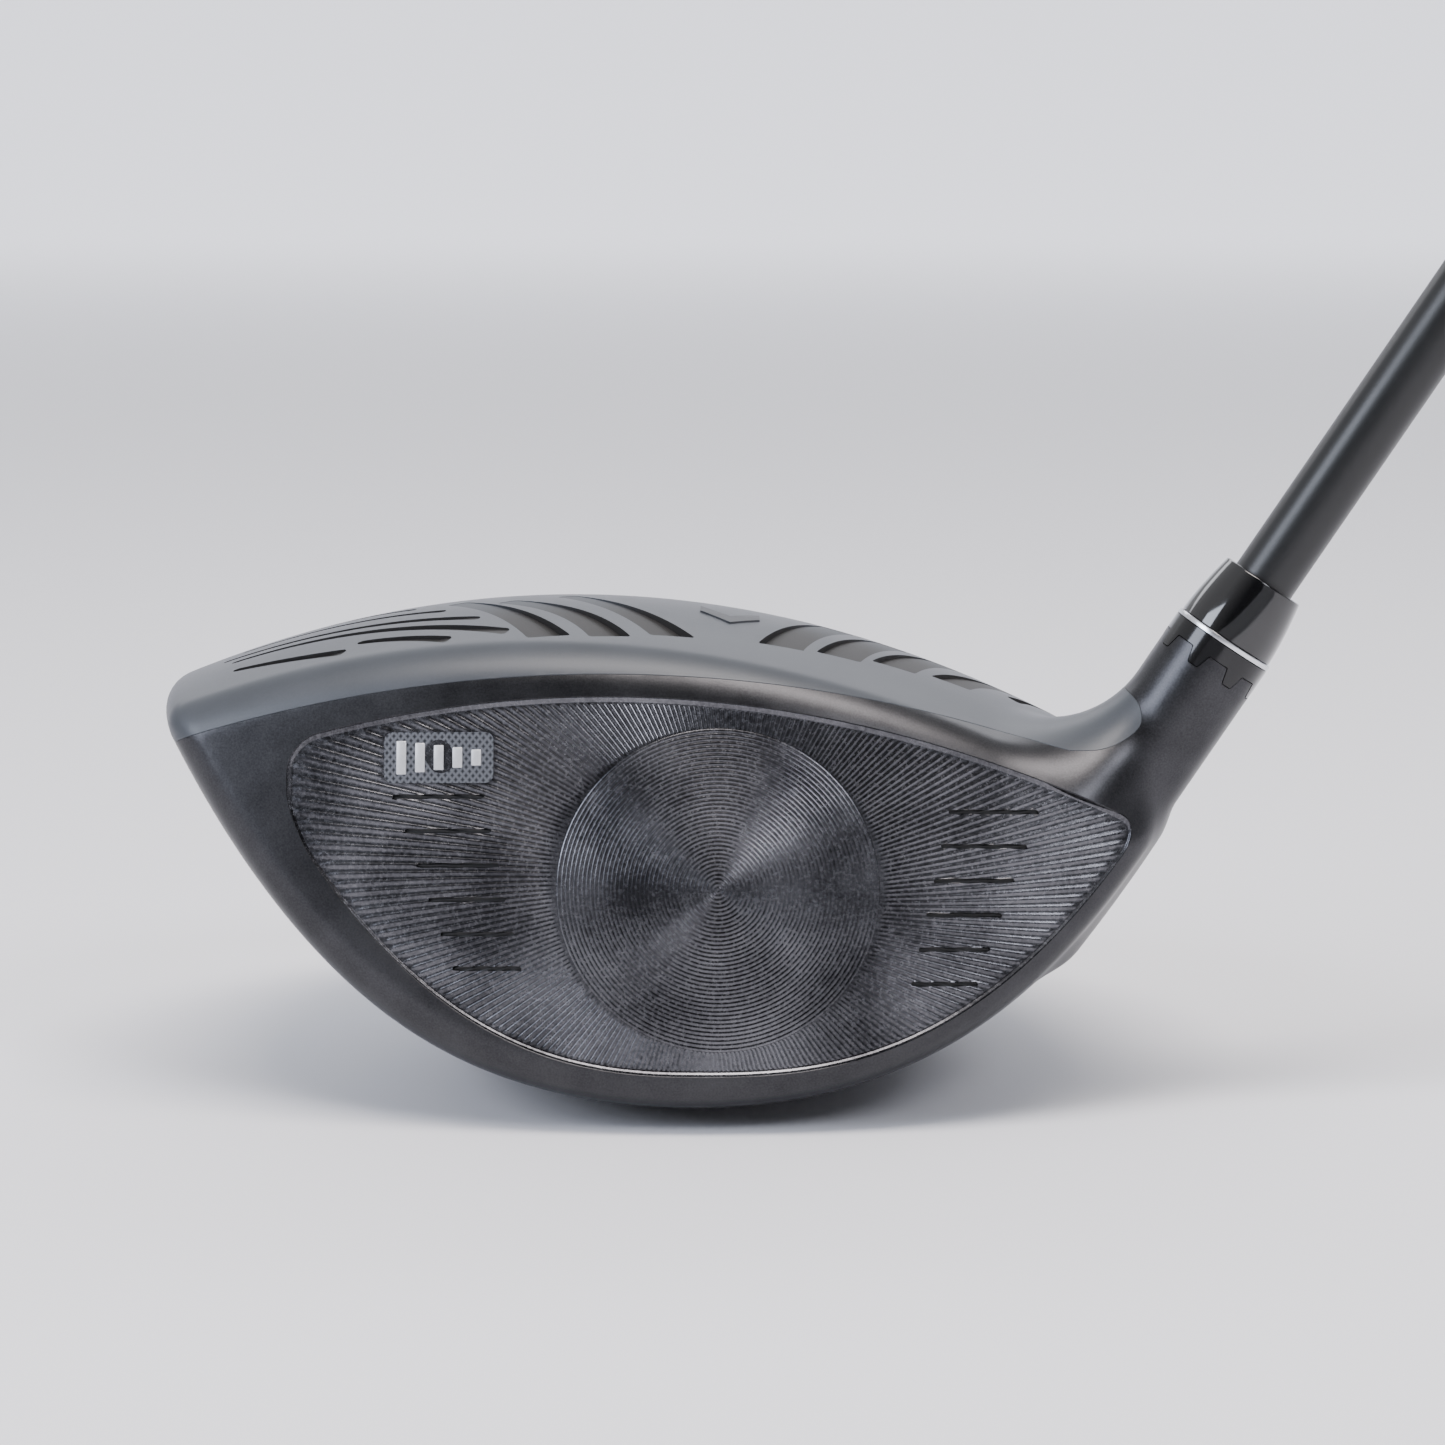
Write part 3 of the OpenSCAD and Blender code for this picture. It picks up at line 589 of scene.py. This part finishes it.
def allRecesses(p):
    gaps = [wedgeGap(p, r) for r in crown["wedges"]] + [slitGap(p, r) for r in crown["slits"]]
    return np.where(p[:, 2] > 35, np.min(gaps, axis=0), 9)


def recessDepth(p):
    down = np.zeros(len(p))
    for r in crown["wedges"]:
        t = np.clip(recessFrame(p, r)[0], 0, 1)
        down = np.where(wedgeGap(p, r) < 0.05, 0.04 + r[7] * (1 - t) ** 1.3, down)
    for r in crown["slits"]:
        t = np.clip(recessFrame(p, r)[0], 0, 1)
        down = np.where(slitGap(p, r) < 0.05, r[7] * np.clip(4 * t + 0.35, 0, 1) * (1 - 0.3 * t), down)
    return down


# how dark the recess is: full charcoal at a recess's front, faded into the crown's colour behind, partly as
# painted reflection where the floor rises
def charcoalShareWithReflection(p):
    dark = np.zeros(len(p))
    for r in crown["wedges"]:
        dark = np.where(wedgeGap(p, r) < 0.3, 1 - ease((recessFrame(p, r)[1] - 9) / 16), dark)
    for r in crown["slits"]:
        dark = np.where(slitGap(p, r) < 0.4, 1, dark)
    return dark.astype(np.float32)


def makeCrown():
    bm = wholeHead.copy()
    cut = lambda p: seamGap(p) + crown["seamGap"]
    cutAlong(bm, cut)
    deleteWhere(bm, cut, inside=False)
    near = [e for e in bm.edges if -34 < e.verts[0].co.y < 16 and e.verts[0].co.z > 38]
    middles = np.array([(e.verts[0].co + e.verts[1].co) / 2 for e in near], float)
    close = np.abs(allRecesses(middles)) < 1.2
    near = [e for e, yes in zip(near, close) if yes and not e.is_boundary]
    bmesh.ops.subdivide_edges(bm, edges=near, cuts=1, use_grid_fill=True)
    bmesh.ops.triangulate(bm, faces=[f for f in bm.faces if len(f.verts) > 4])
    border = {v for e in bm.edges if e.is_boundary for v in e.verts}
    p = places(bm)
    flat = onto(skinGap, p, 2)
    for v, q in zip(bm.verts, flat):
        if v not in border:
            v.co = q
    cutAlong(bm, allRecesses, snap=0.3)
    sink(bm, allRecesses, recessDepth, skinGap, mark=1)
    turnIn(bm, borderNear(bm, cut), cut, skinGap, [(-0.07, 0.07), (0, 1.1)], outside=True)
    piece = finish(bm, "crownPanel", "head", [compositeLacquered, compositeCharcoal])
    # the charcoal share per point: full in front, fading behind partly as painted reflection
    share = piece.data.attributes.new("charcoalShareWithReflection", "FLOAT", "POINT")
    p = np.array([v.co for v in piece.data.vertices], float) * 1000
    share.data.foreach_set("value", charcoalShareWithReflection(p))
    return piece


crownPanel = makeCrown()
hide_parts("crown_panel", "aero_trips_toe", "aero_trips_heel")
print("crown panel made:", len(crownPanel.data.polygons))

# body: the titanium frame, sole and hosel
body = {
    "seamGap": 0.05, "insertGap": 0.12,
    "ports": [(2, -19), (0, 50)], "portRadius": 7.85, "portWithin": 6,
    # the wrench tunnel is cut this far each way, which opens only the far end of its long mouth
    "tunnelRadius": 6.2, "tunnelPlace": 84, "tunnelWithin": 14,
}


def soleFrame(x, y):
    d = 0.05
    up = lambda a, b: float(bowlHeight(np.array([a]), np.array([b]))[0])
    out = np.array([up(x + d, y) - up(x - d, y), up(x, y + d) - up(x, y - d), -2 * d])
    return np.array([x, y, up(x, y)]), out / np.linalg.norm(out)


def roundGap(p, place, out, radius, within):
    offset = p - place
    along = offset @ out
    radial = np.linalg.norm(offset - along[:, None] * out, axis=1)
    return np.maximum(radial - radius, np.abs(along) - within)


def makeBody():
    bm = wholeHead
    openings = [
        (lambda p: seamGap(p) - body["seamGap"], [(0.0, 0.0), (0.07, 0.07), (0, 1.2)]),
        (lambda p: insertGap(p) - body["insertGap"], [(0.12, 0.12), (0, 1.4)]),
        (lambda p: roundGap(p, ringPlace - body["tunnelPlace"] * alongHosel, -alongHosel,
                            body["tunnelRadius"], body["tunnelWithin"]), [(0.25, 0.25), (0, 1.2)]),
    ]
    for x, y in body["ports"]:
        place, out = soleFrame(x, y)
        port = lambda p, place=place, out=out: roundGap(p, place, out, body["portRadius"], body["portWithin"])
        openings.append((port, [(0.2, 0.2), (0, 1.2)]))
    for gap, steps in openings:
        cutAlong(bm, gap)
        deleteWhere(bm, gap)
        turnIn(bm, borderNear(bm, gap), gap, skinGap, steps)
    return finish(bm, "bodyFrame", "head", [titaniumBlasted])


bodyFrame = makeBody()
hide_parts("body_shell")
print("body made:", len(bodyFrame.data.polygons))


# hosel's end, sleeve, ring and ferrule: turned round the hosel's axis
sleeve = {"outer": 7.04, "inner": 5.45, "top": -0.4, "hoselInner": 6.1, "clearance": 0.12, "past": 0.01}
trim = {"bore": 4.3, "flat": 6.9, "shoulder": 7.02, "crest": 7.05, "shoulderHigh": 0.26, "high": 0.36}
turnedEdge = 34     # degrees: a sharper turn than this is shaded as an edge


def spun(profile, segments=128):
    bm = bmesh.new()
    verts = [bm.verts.new((r, 0, z)) for r, z in profile]
    edges = [bm.edges.new(pair) for pair in zip(verts, verts[1:])]
    bmesh.ops.spin(bm, geom=verts + edges, cent=(0, 0, 0), axis=(0, 0, 1), angle=2 * math.pi,
                   steps=segments, use_merge=True)
    bmesh.ops.remove_doubles(bm, verts=bm.verts, dist=1e-4)
    return bm


def onHoselSpun(profile, name, bodyName, material, segments=128):
    bm = spun(profile, segments)
    sharpen(bm, turnedEdge)
    return finishOnHosel(bm, name, bodyName, material)


def finishOnHosel(bm, name, bodyName, material):
    bmesh.ops.transform(bm, matrix=onHosel, verts=bm.verts)
    return finish(bm, name, bodyName, [material], recalc=True)


def sharpen(bm, angle):
    bmesh.ops.recalc_face_normals(bm, faces=bm.faces)
    for e in bm.edges:
        if len(e.link_faces) == 2 and e.calc_face_angle() > math.radians(angle):
            e.smooth = False


# negative on a tooth, for a point in the hosel's own frame
def toothGap(p, grow=0.0):
    turn = np.arctan2(p[:, 1], p[:, 0])
    step = 2 * math.pi / club["teeth"]
    aside = np.abs((turn % step) - step / 2) * club["hoselRadius"]
    t = np.clip((club["rimLevel"] - p[:, 2]) / club["toothHeight"], 0, 1)
    half = mix(club["toothRoot"] / 2, club["toothTip"] / 2, t) + grow
    low = club["rimLevel"] - club["toothHeight"] - grow - p[:, 2]
    return rounded(aside - half, low, 0.25)


def toothedWall(outer, inner, low, high, keepTeeth, grow):
    bm = spun([(outer, low + (high - low) * k / 40) for k in range(41)], 240)
    line = club["rimLevel"] - grow
    if keepTeeth:
        gap = lambda p: np.minimum(toothGap(p, grow), line - p[:, 2])
    else:
        gap = lambda p: np.maximum(-toothGap(p, grow), p[:, 2] - line)
    cutAlong(bm, gap)
    deleteWhere(bm, gap, inside=False)
    bmesh.ops.recalc_face_normals(bm, faces=bm.faces)
    bmesh.ops.solidify(bm, geom=bm.faces[:], thickness=outer - inner)
    sharpen(bm, turnedEdge)
    return bm


hoselEnd = toothedWall(club["hoselRadius"], sleeve["hoselInner"], blank["cutLevel"], club["rimLevel"],
                       False, sleeve["clearance"])
hoselEnd = finishOnHosel(hoselEnd, "hoselEnd", "head", titaniumBlasted)

toothEnds = club["rimLevel"] - club["toothHeight"] - sleeve["past"]
sleeveBand = toothedWall(sleeve["outer"], sleeve["inner"], toothEnds, sleeve["top"], True, 0)
sleeveBand = finishOnHosel(sleeveBand, "sleeveBand", "club_shaft", aluminiumAnodised)


def trimProfile(s):
    upper = [(s["shoulder"], s["shoulderHigh"]), (s["flat"], s["high"]), (s["bore"], s["high"])]
    lower = [(r, -z) for r, z in reversed(upper)]
    return lower + [(s["crest"], 0)] + upper + lower[:1]


trimRing = onHoselSpun(trimProfile(trim), "trimRing", "trim_ring", aluminiumTurned)
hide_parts("sleeve_ring")

# the liner in the hosel, trimmed just under the skin where its tunnel reaches the sole
liner = {"top": -5.7, "seat": -47.5, "seatLow": -50, "foot": -84, "outer": 6.15, "bore": 5.55, "hole": 2.85,
         "tunnel": 5.0, "under": 0.5}


def makeLiner(s):
    outside = [(s["tunnel"], s["foot"]), (s["outer"], s["foot"]), (s["outer"], s["top"])]
    inside = [(s["bore"], s["top"]), (s["bore"], s["seat"]), (s["hole"], s["seat"]), (s["hole"], s["seatLow"]),
              (s["tunnel"], s["seatLow"])]
    bm = spun(outside + inside + outside[:1], 96)
    long = [e for e in bm.edges if e.calc_length() > 20]
    bmesh.ops.subdivide_edges(bm, edges=long, cuts=60, use_grid_fill=True)
    bmesh.ops.transform(bm, matrix=onHosel, verts=bm.verts)
    gap = lambda p: skinGap(p) + s["under"]
    cutAlong(bm, gap)
    deleteWhere(bm, gap, inside=False)
    sharpen(bm, turnedEdge)
    return finish(bm, "hoselLiner", "head", [steelMachined], recalc=True)


hoselLiner = makeLiner(liner)
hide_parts("hosel_liner")

ferruleSizes = {"base": 6.75, "top": 5.7, "low": 0.42, "high": 9.3, "bore": 4.3, "edge": 0.3}


def ferruleProfile(s):
    points = [(s["bore"], s["low"]), (s["base"] - 0.12, s["low"]), (s["base"], s["low"] + 0.12)]
    edge = s["edge"]
    for k in range(1, 13):
        t = k / 12
        points.append((mix(s["base"], s["top"], t ** 1.6), mix(s["low"] + 0.12, s["high"] - edge, t)))
    for k in range(1, 7):
        a = math.pi / 2 * k / 6
        points.append((s["top"] - edge + edge * math.cos(a), s["high"] - edge + edge * math.sin(a)))
    return points + [(s["bore"], s["high"] - 0.25), (s["bore"], s["low"])]


ferrule = onHoselSpun(ferruleProfile(ferruleSizes), "ferrulePolished", "club_shaft", acetatePolished)
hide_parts("ferrule")
print("hosel's end, sleeve, ring and ferrule made")

# face plate: rings round the middle, ridges outside them, score lines and a plaque
face = {
    "recess": 0.35, "rim": 0.7, "middle": 20.9,
    "rings": 39, "ringHeight": 0.04,
    "spokes": 248, "spokeHeight": 0.1, "swirl": 0.07,
    "scores": 6, "scorePitch": 4.45, "scoreWide": 0.3, "scoreDeep": 0.45,
}
plaque = {"x": -36.25, "y": 17.2, "long": 14.3, "high": 6.6, "corner": 1.1, "rim": 0.3, "proud": 0.16,
          "bars": 5, "barWide": 1.3, "barTall": 4.4, "barStep": 2.45}


def dish(x, y, down=0.0):
    r = club["faceRadius"] - down
    return np.sqrt(r * r - x * x - y * y) - club["faceRadius"]


# how far out the outline lies along a line that leans from the radial by the given swirl
def outlineReach(turns, grow=0.0, swirl=0.0):
    near, far = np.zeros(len(turns)), np.full(len(turns), 90.0)
    for _ in range(30):
        half = (near + far) / 2
        leant = turns + swirl * np.log(np.maximum(half / face["middle"], 1))
        inside = outlineGap(half * np.cos(leant), half * np.sin(leant)) < grow
        near, far = np.where(inside, half, near), np.where(inside, far, half)
    return near


# a grid wrapped round the face's middle: columns go round, rows go out
def wrapped(columns, rows, shape):
    bm = bmesh.new()
    bmesh.ops.create_grid(bm, x_segments=columns, y_segments=rows, size=0.5)
    p = places(bm) + [0.5, 0.5, 0]
    move(bm, shape(p[:, 0] * 2 * math.pi, p[:, 1]))
    bmesh.ops.remove_doubles(bm, verts=bm.verts, dist=1e-3)
    return bm


def ringShape(turn, share):
    r = face["middle"] * share
    x, y = r * np.cos(turn), r * np.sin(turn)
    scallop = np.abs(np.sin(math.pi * share * face["rings"])) * 2 - 1
    z = dish(x, y, face["recess"]) + face["ringHeight"] * scallop
    return np.column_stack([x, y, z])


def spokeShape(turn, share):
    near = face["middle"]
    reach = outlineReach(turn, -face["rim"], face["swirl"])
    r = near + (reach - near) * share
    leant = turn + face["swirl"] * np.log(r / near)
    x, y = r * np.cos(leant), r * np.sin(leant)
    phase = turn * face["spokes"]
    ridge = 0.65 * np.cos(phase) + 0.35 * np.cos(2 * phase + 0.8)
    high = face["spokeHeight"] * np.clip(r / 34, 0.55, 1.4) * ease(share * 12) * ease((1 - share) * 25)
    plain = np.maximum(np.abs(x - plaque["x"]) - plaque["long"] / 2,
                       np.abs(y - plaque["y"]) - plaque["high"] / 2)
    high = high * np.where(plain < 0.1, 0, 1)     # no ridges under the plaque
    return np.column_stack([x, y, dish(x, y, face["recess"]) + high * ridge])


def rimShape(turn, share):
    reach = outlineReach(turn, -face["rim"] * (1 - share))
    x, y = reach * np.cos(turn), reach * np.sin(turn)
    down = mix(face["recess"] + 0.02, 0.06, ease(share))
    return np.column_stack([x, y, dish(x, y, down)])


def scoreGap(p):
    gap = np.full(len(p), 9.0)
    for side in (-1, 1):
        for i in range(face["scores"]):
            y = (i - (face["scores"] - 1) / 2) * face["scorePitch"] - side
            long = 10.4 + 0.14 * y
            x = side * (27.6 + 0.22 * y + long / 2)
            bend = 0.05 * np.sin(p[:, 0] * 1.7 + i)
            aside = np.abs(p[:, 1] - y + bend) - face["scoreWide"]
            gap = np.minimum(gap, rounded(np.abs(p[:, 0] - x) - long / 2, aside, 0.25))
    return gap


def faceSkin(p):
    return np.sqrt(p[:, 0] ** 2 + p[:, 1] ** 2 + (p[:, 2] + club["faceRadius"]) ** 2) - club["faceRadius"]


def makeFace():
    rings = wrapped(240, face["rings"] * 6, ringShape)
    bmesh.ops.transform(rings, matrix=onFace, verts=rings.verts)
    rings = finish(rings, "faceRings", "head", [titaniumMilled])
    spokes = wrapped(face["spokes"] * 5, 52, spokeShape)
    cutAlong(spokes, scoreGap)
    sink(spokes, scoreGap, lambda p: np.full(len(p), face["scoreDeep"]), faceSkin, mark=1)
    bmesh.ops.transform(spokes, matrix=onFace, verts=spokes.verts)
    spokes = finish(spokes, "faceSpokes", "head", [titaniumMilled, enamelFilled])
    rim = wrapped(480, 6, rimShape)
    edge = [e for e in rim.edges if e.is_boundary]
    corners = np.array([e.verts[0].co for e in edge], float)
    outer = outlineGap(corners[:, 0], corners[:, 1]) > -0.1
    turns = [e for e, yes in zip(edge, outer) if yes]
    made = bmesh.ops.extrude_edge_only(rim, edges=turns)["geom"]
    bmesh.ops.translate(rim, vec=(0, 0, -1.2), verts=[g for g in made if isinstance(g, bmesh.types.BMVert)])
    sharpen(rim, 30)
    bmesh.ops.transform(rim, matrix=onFace, verts=rim.verts)
    rim = finish(rim, "faceRim", "head", [titaniumMilled])
    return rings, spokes, rim


faceRings, faceSpokes, faceRim = makeFace()
for piece in (faceRings, faceSpokes, faceRim):
    if piece.data.polygons[0].normal.dot(Vector(faceOut)) < 0:
        piece.data.flip_normals()
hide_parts("face_plate")
print("face made:", len(faceRings.data.polygons), len(faceSpokes.data.polygons))

# plaque on the face: a rounded plate with a raised rim and five plain bars
def roundedPlate(x, y, long, high, corner, segments=8):
    bm = bmesh.new()
    signs = ((-1, -1), (1, -1), (1, 1), (-1, 1))
    bm.faces.new([bm.verts.new((x + i * long / 2, y + j * high / 2, 0)) for i, j in signs])
    bmesh.ops.bevel(bm, geom=bm.verts[:], offset=corner, segments=segments, profile=0.5, affect="VERTICES",
                    material=-1)
    return bm


def layOnFace(bm, lift):
    for v in bm.verts:
        v.co.z += float(dish(v.co.x, v.co.y, face["recess"] - lift))


def makePlaque():
    bm = roundedPlate(plaque["x"], plaque["y"], plaque["long"], plaque["high"], plaque["corner"])
    plate = bm.faces[:]
    rim = bmesh.ops.inset_region(bm, faces=plate, thickness=plaque["rim"], depth=0)
    bmesh.ops.inset_region(bm, faces=plate, thickness=0.08, depth=-0.08)
    for f in rim["faces"]:
        f.material_index = 1
    sides = bmesh.ops.extrude_edge_only(bm, edges=[e for e in bm.edges if e.is_boundary])["geom"]
    bmesh.ops.translate(bm, vec=(0, 0, -0.5), verts=[g for g in sides if isinstance(g, bmesh.types.BMVert)])
    layOnFace(bm, plaque["proud"])
    sharpen(bm, 30)
    bmesh.ops.transform(bm, matrix=onFace, verts=bm.verts)
    plate = finish(bm, "facePlaque", "head", [plaqueEtched, titaniumBlasted], recalc=True)
    bars = bmesh.new()
    for k in range(plaque["bars"]):
        tall = plaque["barTall"] * (1 - 0.13 * k)
        x = plaque["x"] + (k - (plaque["bars"] - 1) / 2) * plaque["barStep"]
        one = bmesh.ops.create_cube(bars, size=1)["verts"]
        bmesh.ops.scale(bars, vec=(plaque["barWide"], tall, 0.3), verts=one)
        bmesh.ops.translate(bars, vec=(x, plaque["y"], 0), verts=one)
    bmesh.ops.bevel(bars, geom=bars.edges[:], offset=0.12, segments=2, profile=0.5, affect="EDGES",
                    material=-1)
    layOnFace(bars, plaque["proud"] - 0.1)
    bmesh.ops.transform(bars, matrix=onFace, verts=bars.verts)
    return plate, finish(bars, "plaqueBars", "head", [enamelSilver], recalc=True)


# etched metal: a fine cross hatch, two sets of thin lines at right angles
def etchedFinish():
    material, tree, shader, place = newFinish("titaniumEtchedHatched", Metallic=0.9, Roughness=0.4)
    lines = []
    for turn in (0.7, -0.7):
        turned = addNode(tree, "ShaderNodeMapping", {"Rotation": (0, turn, 0)}, {"Vector": place}).outputs[0]
        hatch = {"bands_direction": "X", "Scale": grain(0.35) / 6.28, "Distortion": 0.4}
        lines.append(addNode(tree, "ShaderNodeTexWave", hatch, {"Vector": turned}).outputs["Fac"])
    both = addNode(tree, "ShaderNodeMath", {"operation": "MAXIMUM"}, {0: lines[0], 1: lines[1]}).outputs[0]
    colour = addNode(tree, "ShaderNodeValToRGB", {"stops": [(0.2, "#3a3b3e"), (0.95, "#77797e")]},
                     {0: both})
    bump = addNode(tree, "ShaderNodeBump", {"Strength": 0.6, "Distance": 0.03 / 1000}, {"Height": both})
    tree.links.new(colour.outputs[0], shader.inputs["Base Color"])
    tree.links.new(bump.outputs[0], shader.inputs["Normal"])
    return material


plaqueEtched = etchedFinish()
facePlaque, plaqueBars = makePlaque()

# pieces that keep their CAD shape, each with its finish
carried = {
    "alignment_mark": compositeInked, "front_port": titaniumBlasted,
    "rear_port": titaniumBlasted, "sole_badge": badgeAnodised, "screw_washer": nitrileMoulded,
    "hosel_screw": steelMachined, "front_weight_washer": nitrileMoulded, "front_weight": tungstenTurned,
    "rear_weight_washer": nitrileMoulded, "rear_weight": tungstenTurned, "hosel_sleeve": aluminiumAnodised,
    "tip_plug": foamCast, "shaft": graphiteLacquered, "shaft_band": enamelSilver, "grip_tape": tapePaper,
}
for name, material in carried.items():
    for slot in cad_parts[name].material_slots:
        slot.material = material

# grip: moulded rubber with fields of small dimples between plain bands, and its cap
grip = {"start": 807.7, "end": 1070.65, "mouth": 8.68, "butt": 13.18, "bore": 7.25,
        "fields": 5, "dimples": 30, "dimpleLong": 4.2, "dimpleDeep": 0.28}


def gripShape(turn, share):
    along = mix(grip["start"], grip["end"], share)
    field = (share * grip["fields"]) % 1
    inField = ease((field - 0.06) * 25) * ease((0.94 - field) * 25)
    row = along / grip["dimpleLong"] * 2 * math.pi
    dimple = np.clip(np.cos(turn * grip["dimples"]) * np.cos(row), 0, 1)
    r = mix(grip["mouth"], grip["butt"], share ** 0.8) - grip["dimpleDeep"] * inField * dimple
    r = np.where((share < 1e-6) | (share > 1 - 1e-6), grip["bore"], r)
    return np.column_stack([r * np.cos(turn), r * np.sin(turn), along])


def makeGrip():
    bm = wrapped(120, 520, gripShape)
    bmesh.ops.transform(bm, matrix=onHosel, verts=bm.verts)
    return finish(bm, "gripMoulded", "club_shaft", [rubberMoulded], recalc=True)


gripMoulded = makeGrip()
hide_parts("grip")
# the cap's profile, radius and distance along the shaft from the trim ring
cap = {
    "vent": [(0, 1072.9), (1.4, 1072.9), (1.5, 1074.5)],
    "groove": [(5.2, 1074.5), (5.5, 1074.2), (5.9, 1074.2), (6.2, 1074.5)],
    "edge": [(12.9, 1074.65), (13.7, 1074.1), (14.15, 1073.4), (14.18, 1072.4), (14.18, 1071.4)],
    "seat": [(13.9, 1070.75), (0, 1070.75)],
}
capProfile = cap["vent"] + cap["groove"] + cap["edge"] + cap["seat"]
gripCap = onHoselSpun(capProfile, "gripCap", "club_shaft", rubberMoulded, 96)
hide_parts("grip_cap")
print("grip and cap made")

# stage: the floor curves up far away on every side, so no horizon shows
sweep = {"flat": 5.0, "rise": 4.0, "low": -0.0005}


def makeStage():
    profile = [(0, sweep["low"]), (sweep["flat"], sweep["low"])]
    for k in range(1, 15):
        a = math.radians(5 * k)
        profile.append((sweep["flat"] + sweep["rise"] * math.sin(a), sweep["rise"] * (1 - math.cos(a))))
    bm = spun(profile)
    bmesh.ops.recalc_face_normals(bm, faces=bm.faces)
    if bm.faces[:][0].normal.z < 0:
        bmesh.ops.reverse_faces(bm, faces=bm.faces)
    for f in bm.faces:
        f.smooth = True
    mesh = bpy.data.meshes.new("floor")
    bm.to_mesh(mesh)
    bm.free()
    floor = bpy.data.objects.new("floor", mesh)
    bpy.context.scene.collection.objects.link(floor)
    # matte paper: pale, no shine
    paper, _, shader, _ = newFinish("paperMatte", Roughness=0.9)
    shader.inputs["Base Color"].default_value = toLinear("#e6e6ea")
    mesh.materials.append(paper)


makeStage()


def softLight(name, place, target, size, power, colour):
    lamp = bpy.data.lights.new(name, "AREA")
    lamp.shape = "RECTANGLE"
    lamp.size, lamp.size_y = size
    lamp.energy = power
    lamp.color = toLinear(colour)[:3]
    holder = bpy.data.objects.new(name, lamp)
    holder.location = place
    holder.rotation_euler = (Vector(target) - Vector(place)).to_track_quat("-Z", "Y").to_euler()
    bpy.context.scene.collection.objects.link(holder)


# each lamp: place and target in metres, width and height, power, colour
lamps = {
    "overhead": ((0.1, -0.35, 1.3), (0, 0, 0.03), (1.0, 0.45), 22, "#fff7f2"),
    "windowLeft": ((-1.1, -0.75, 0.7), (0, 0, 0.04), (0.6, 0.7), 16, "#e6eeff"),
    "windowRight": ((0.75, -1.0, 1.0), (0, 0, 0.04), (0.45, 0.45), 9, "#f4f6ff"),
    "farFloor": ((0, 5, 3.4), (0, 6, 0), (9, 4), 420, "#f7f8ff"),
}
for name, settings in lamps.items():
    softLight(name, *settings)

# the room is pale behind and to the left of the club, and dark in front and to the right
room = {"ahead": "#34353a", "behind": "#e4e5e9", "leftShare": -0.6, "from": -0.75, "to": 0.1, "strength": 1.1}
world = bpy.data.worlds.new("room")
world.use_nodes = True
tree = world.node_tree
direction = addNode(tree, "ShaderNodeTexCoord").outputs["Generated"]
ways = addNode(tree, "ShaderNodeSeparateXYZ", None, {0: direction})
leftAndBack = addNode(tree, "ShaderNodeMath", {"operation": "MULTIPLY_ADD", 1: room["leftShare"]},
                      {0: ways.outputs[0], 2: ways.outputs[1]}).outputs[0]
shade = addNode(tree, "ShaderNodeMapRange", {1: room["from"], 2: room["to"], 3: 0.0, 4: 1.0},
                {0: leftAndBack})
colour = addNode(tree, "ShaderNodeValToRGB", {"stops": [(0.0, room["ahead"]), (1.0, room["behind"])]},
                 {0: shade.outputs[0]})
tree.links.new(colour.outputs[0], tree.nodes["Background"].inputs["Color"])
tree.nodes["Background"].inputs["Strength"].default_value = room["strength"]
bpy.context.scene.world = world

# camera: place in millimetres, tilt in degrees, lens in millimetres
view = {"place": (3.88, -549.59, 127.06), "tilt": 8.21, "lens": 100.55}
lens = bpy.data.cameras.new("studioCamera")
lens.lens = view["lens"]
lens.sensor_width = 36
camera = bpy.data.objects.new("studioCamera", lens)
camera.location = Vector(view["place"]) / 1000
camera.rotation_euler = (math.radians(90 - view["tilt"]), 0, 0)
bpy.context.scene.collection.objects.link(camera)
bpy.context.scene.camera = camera
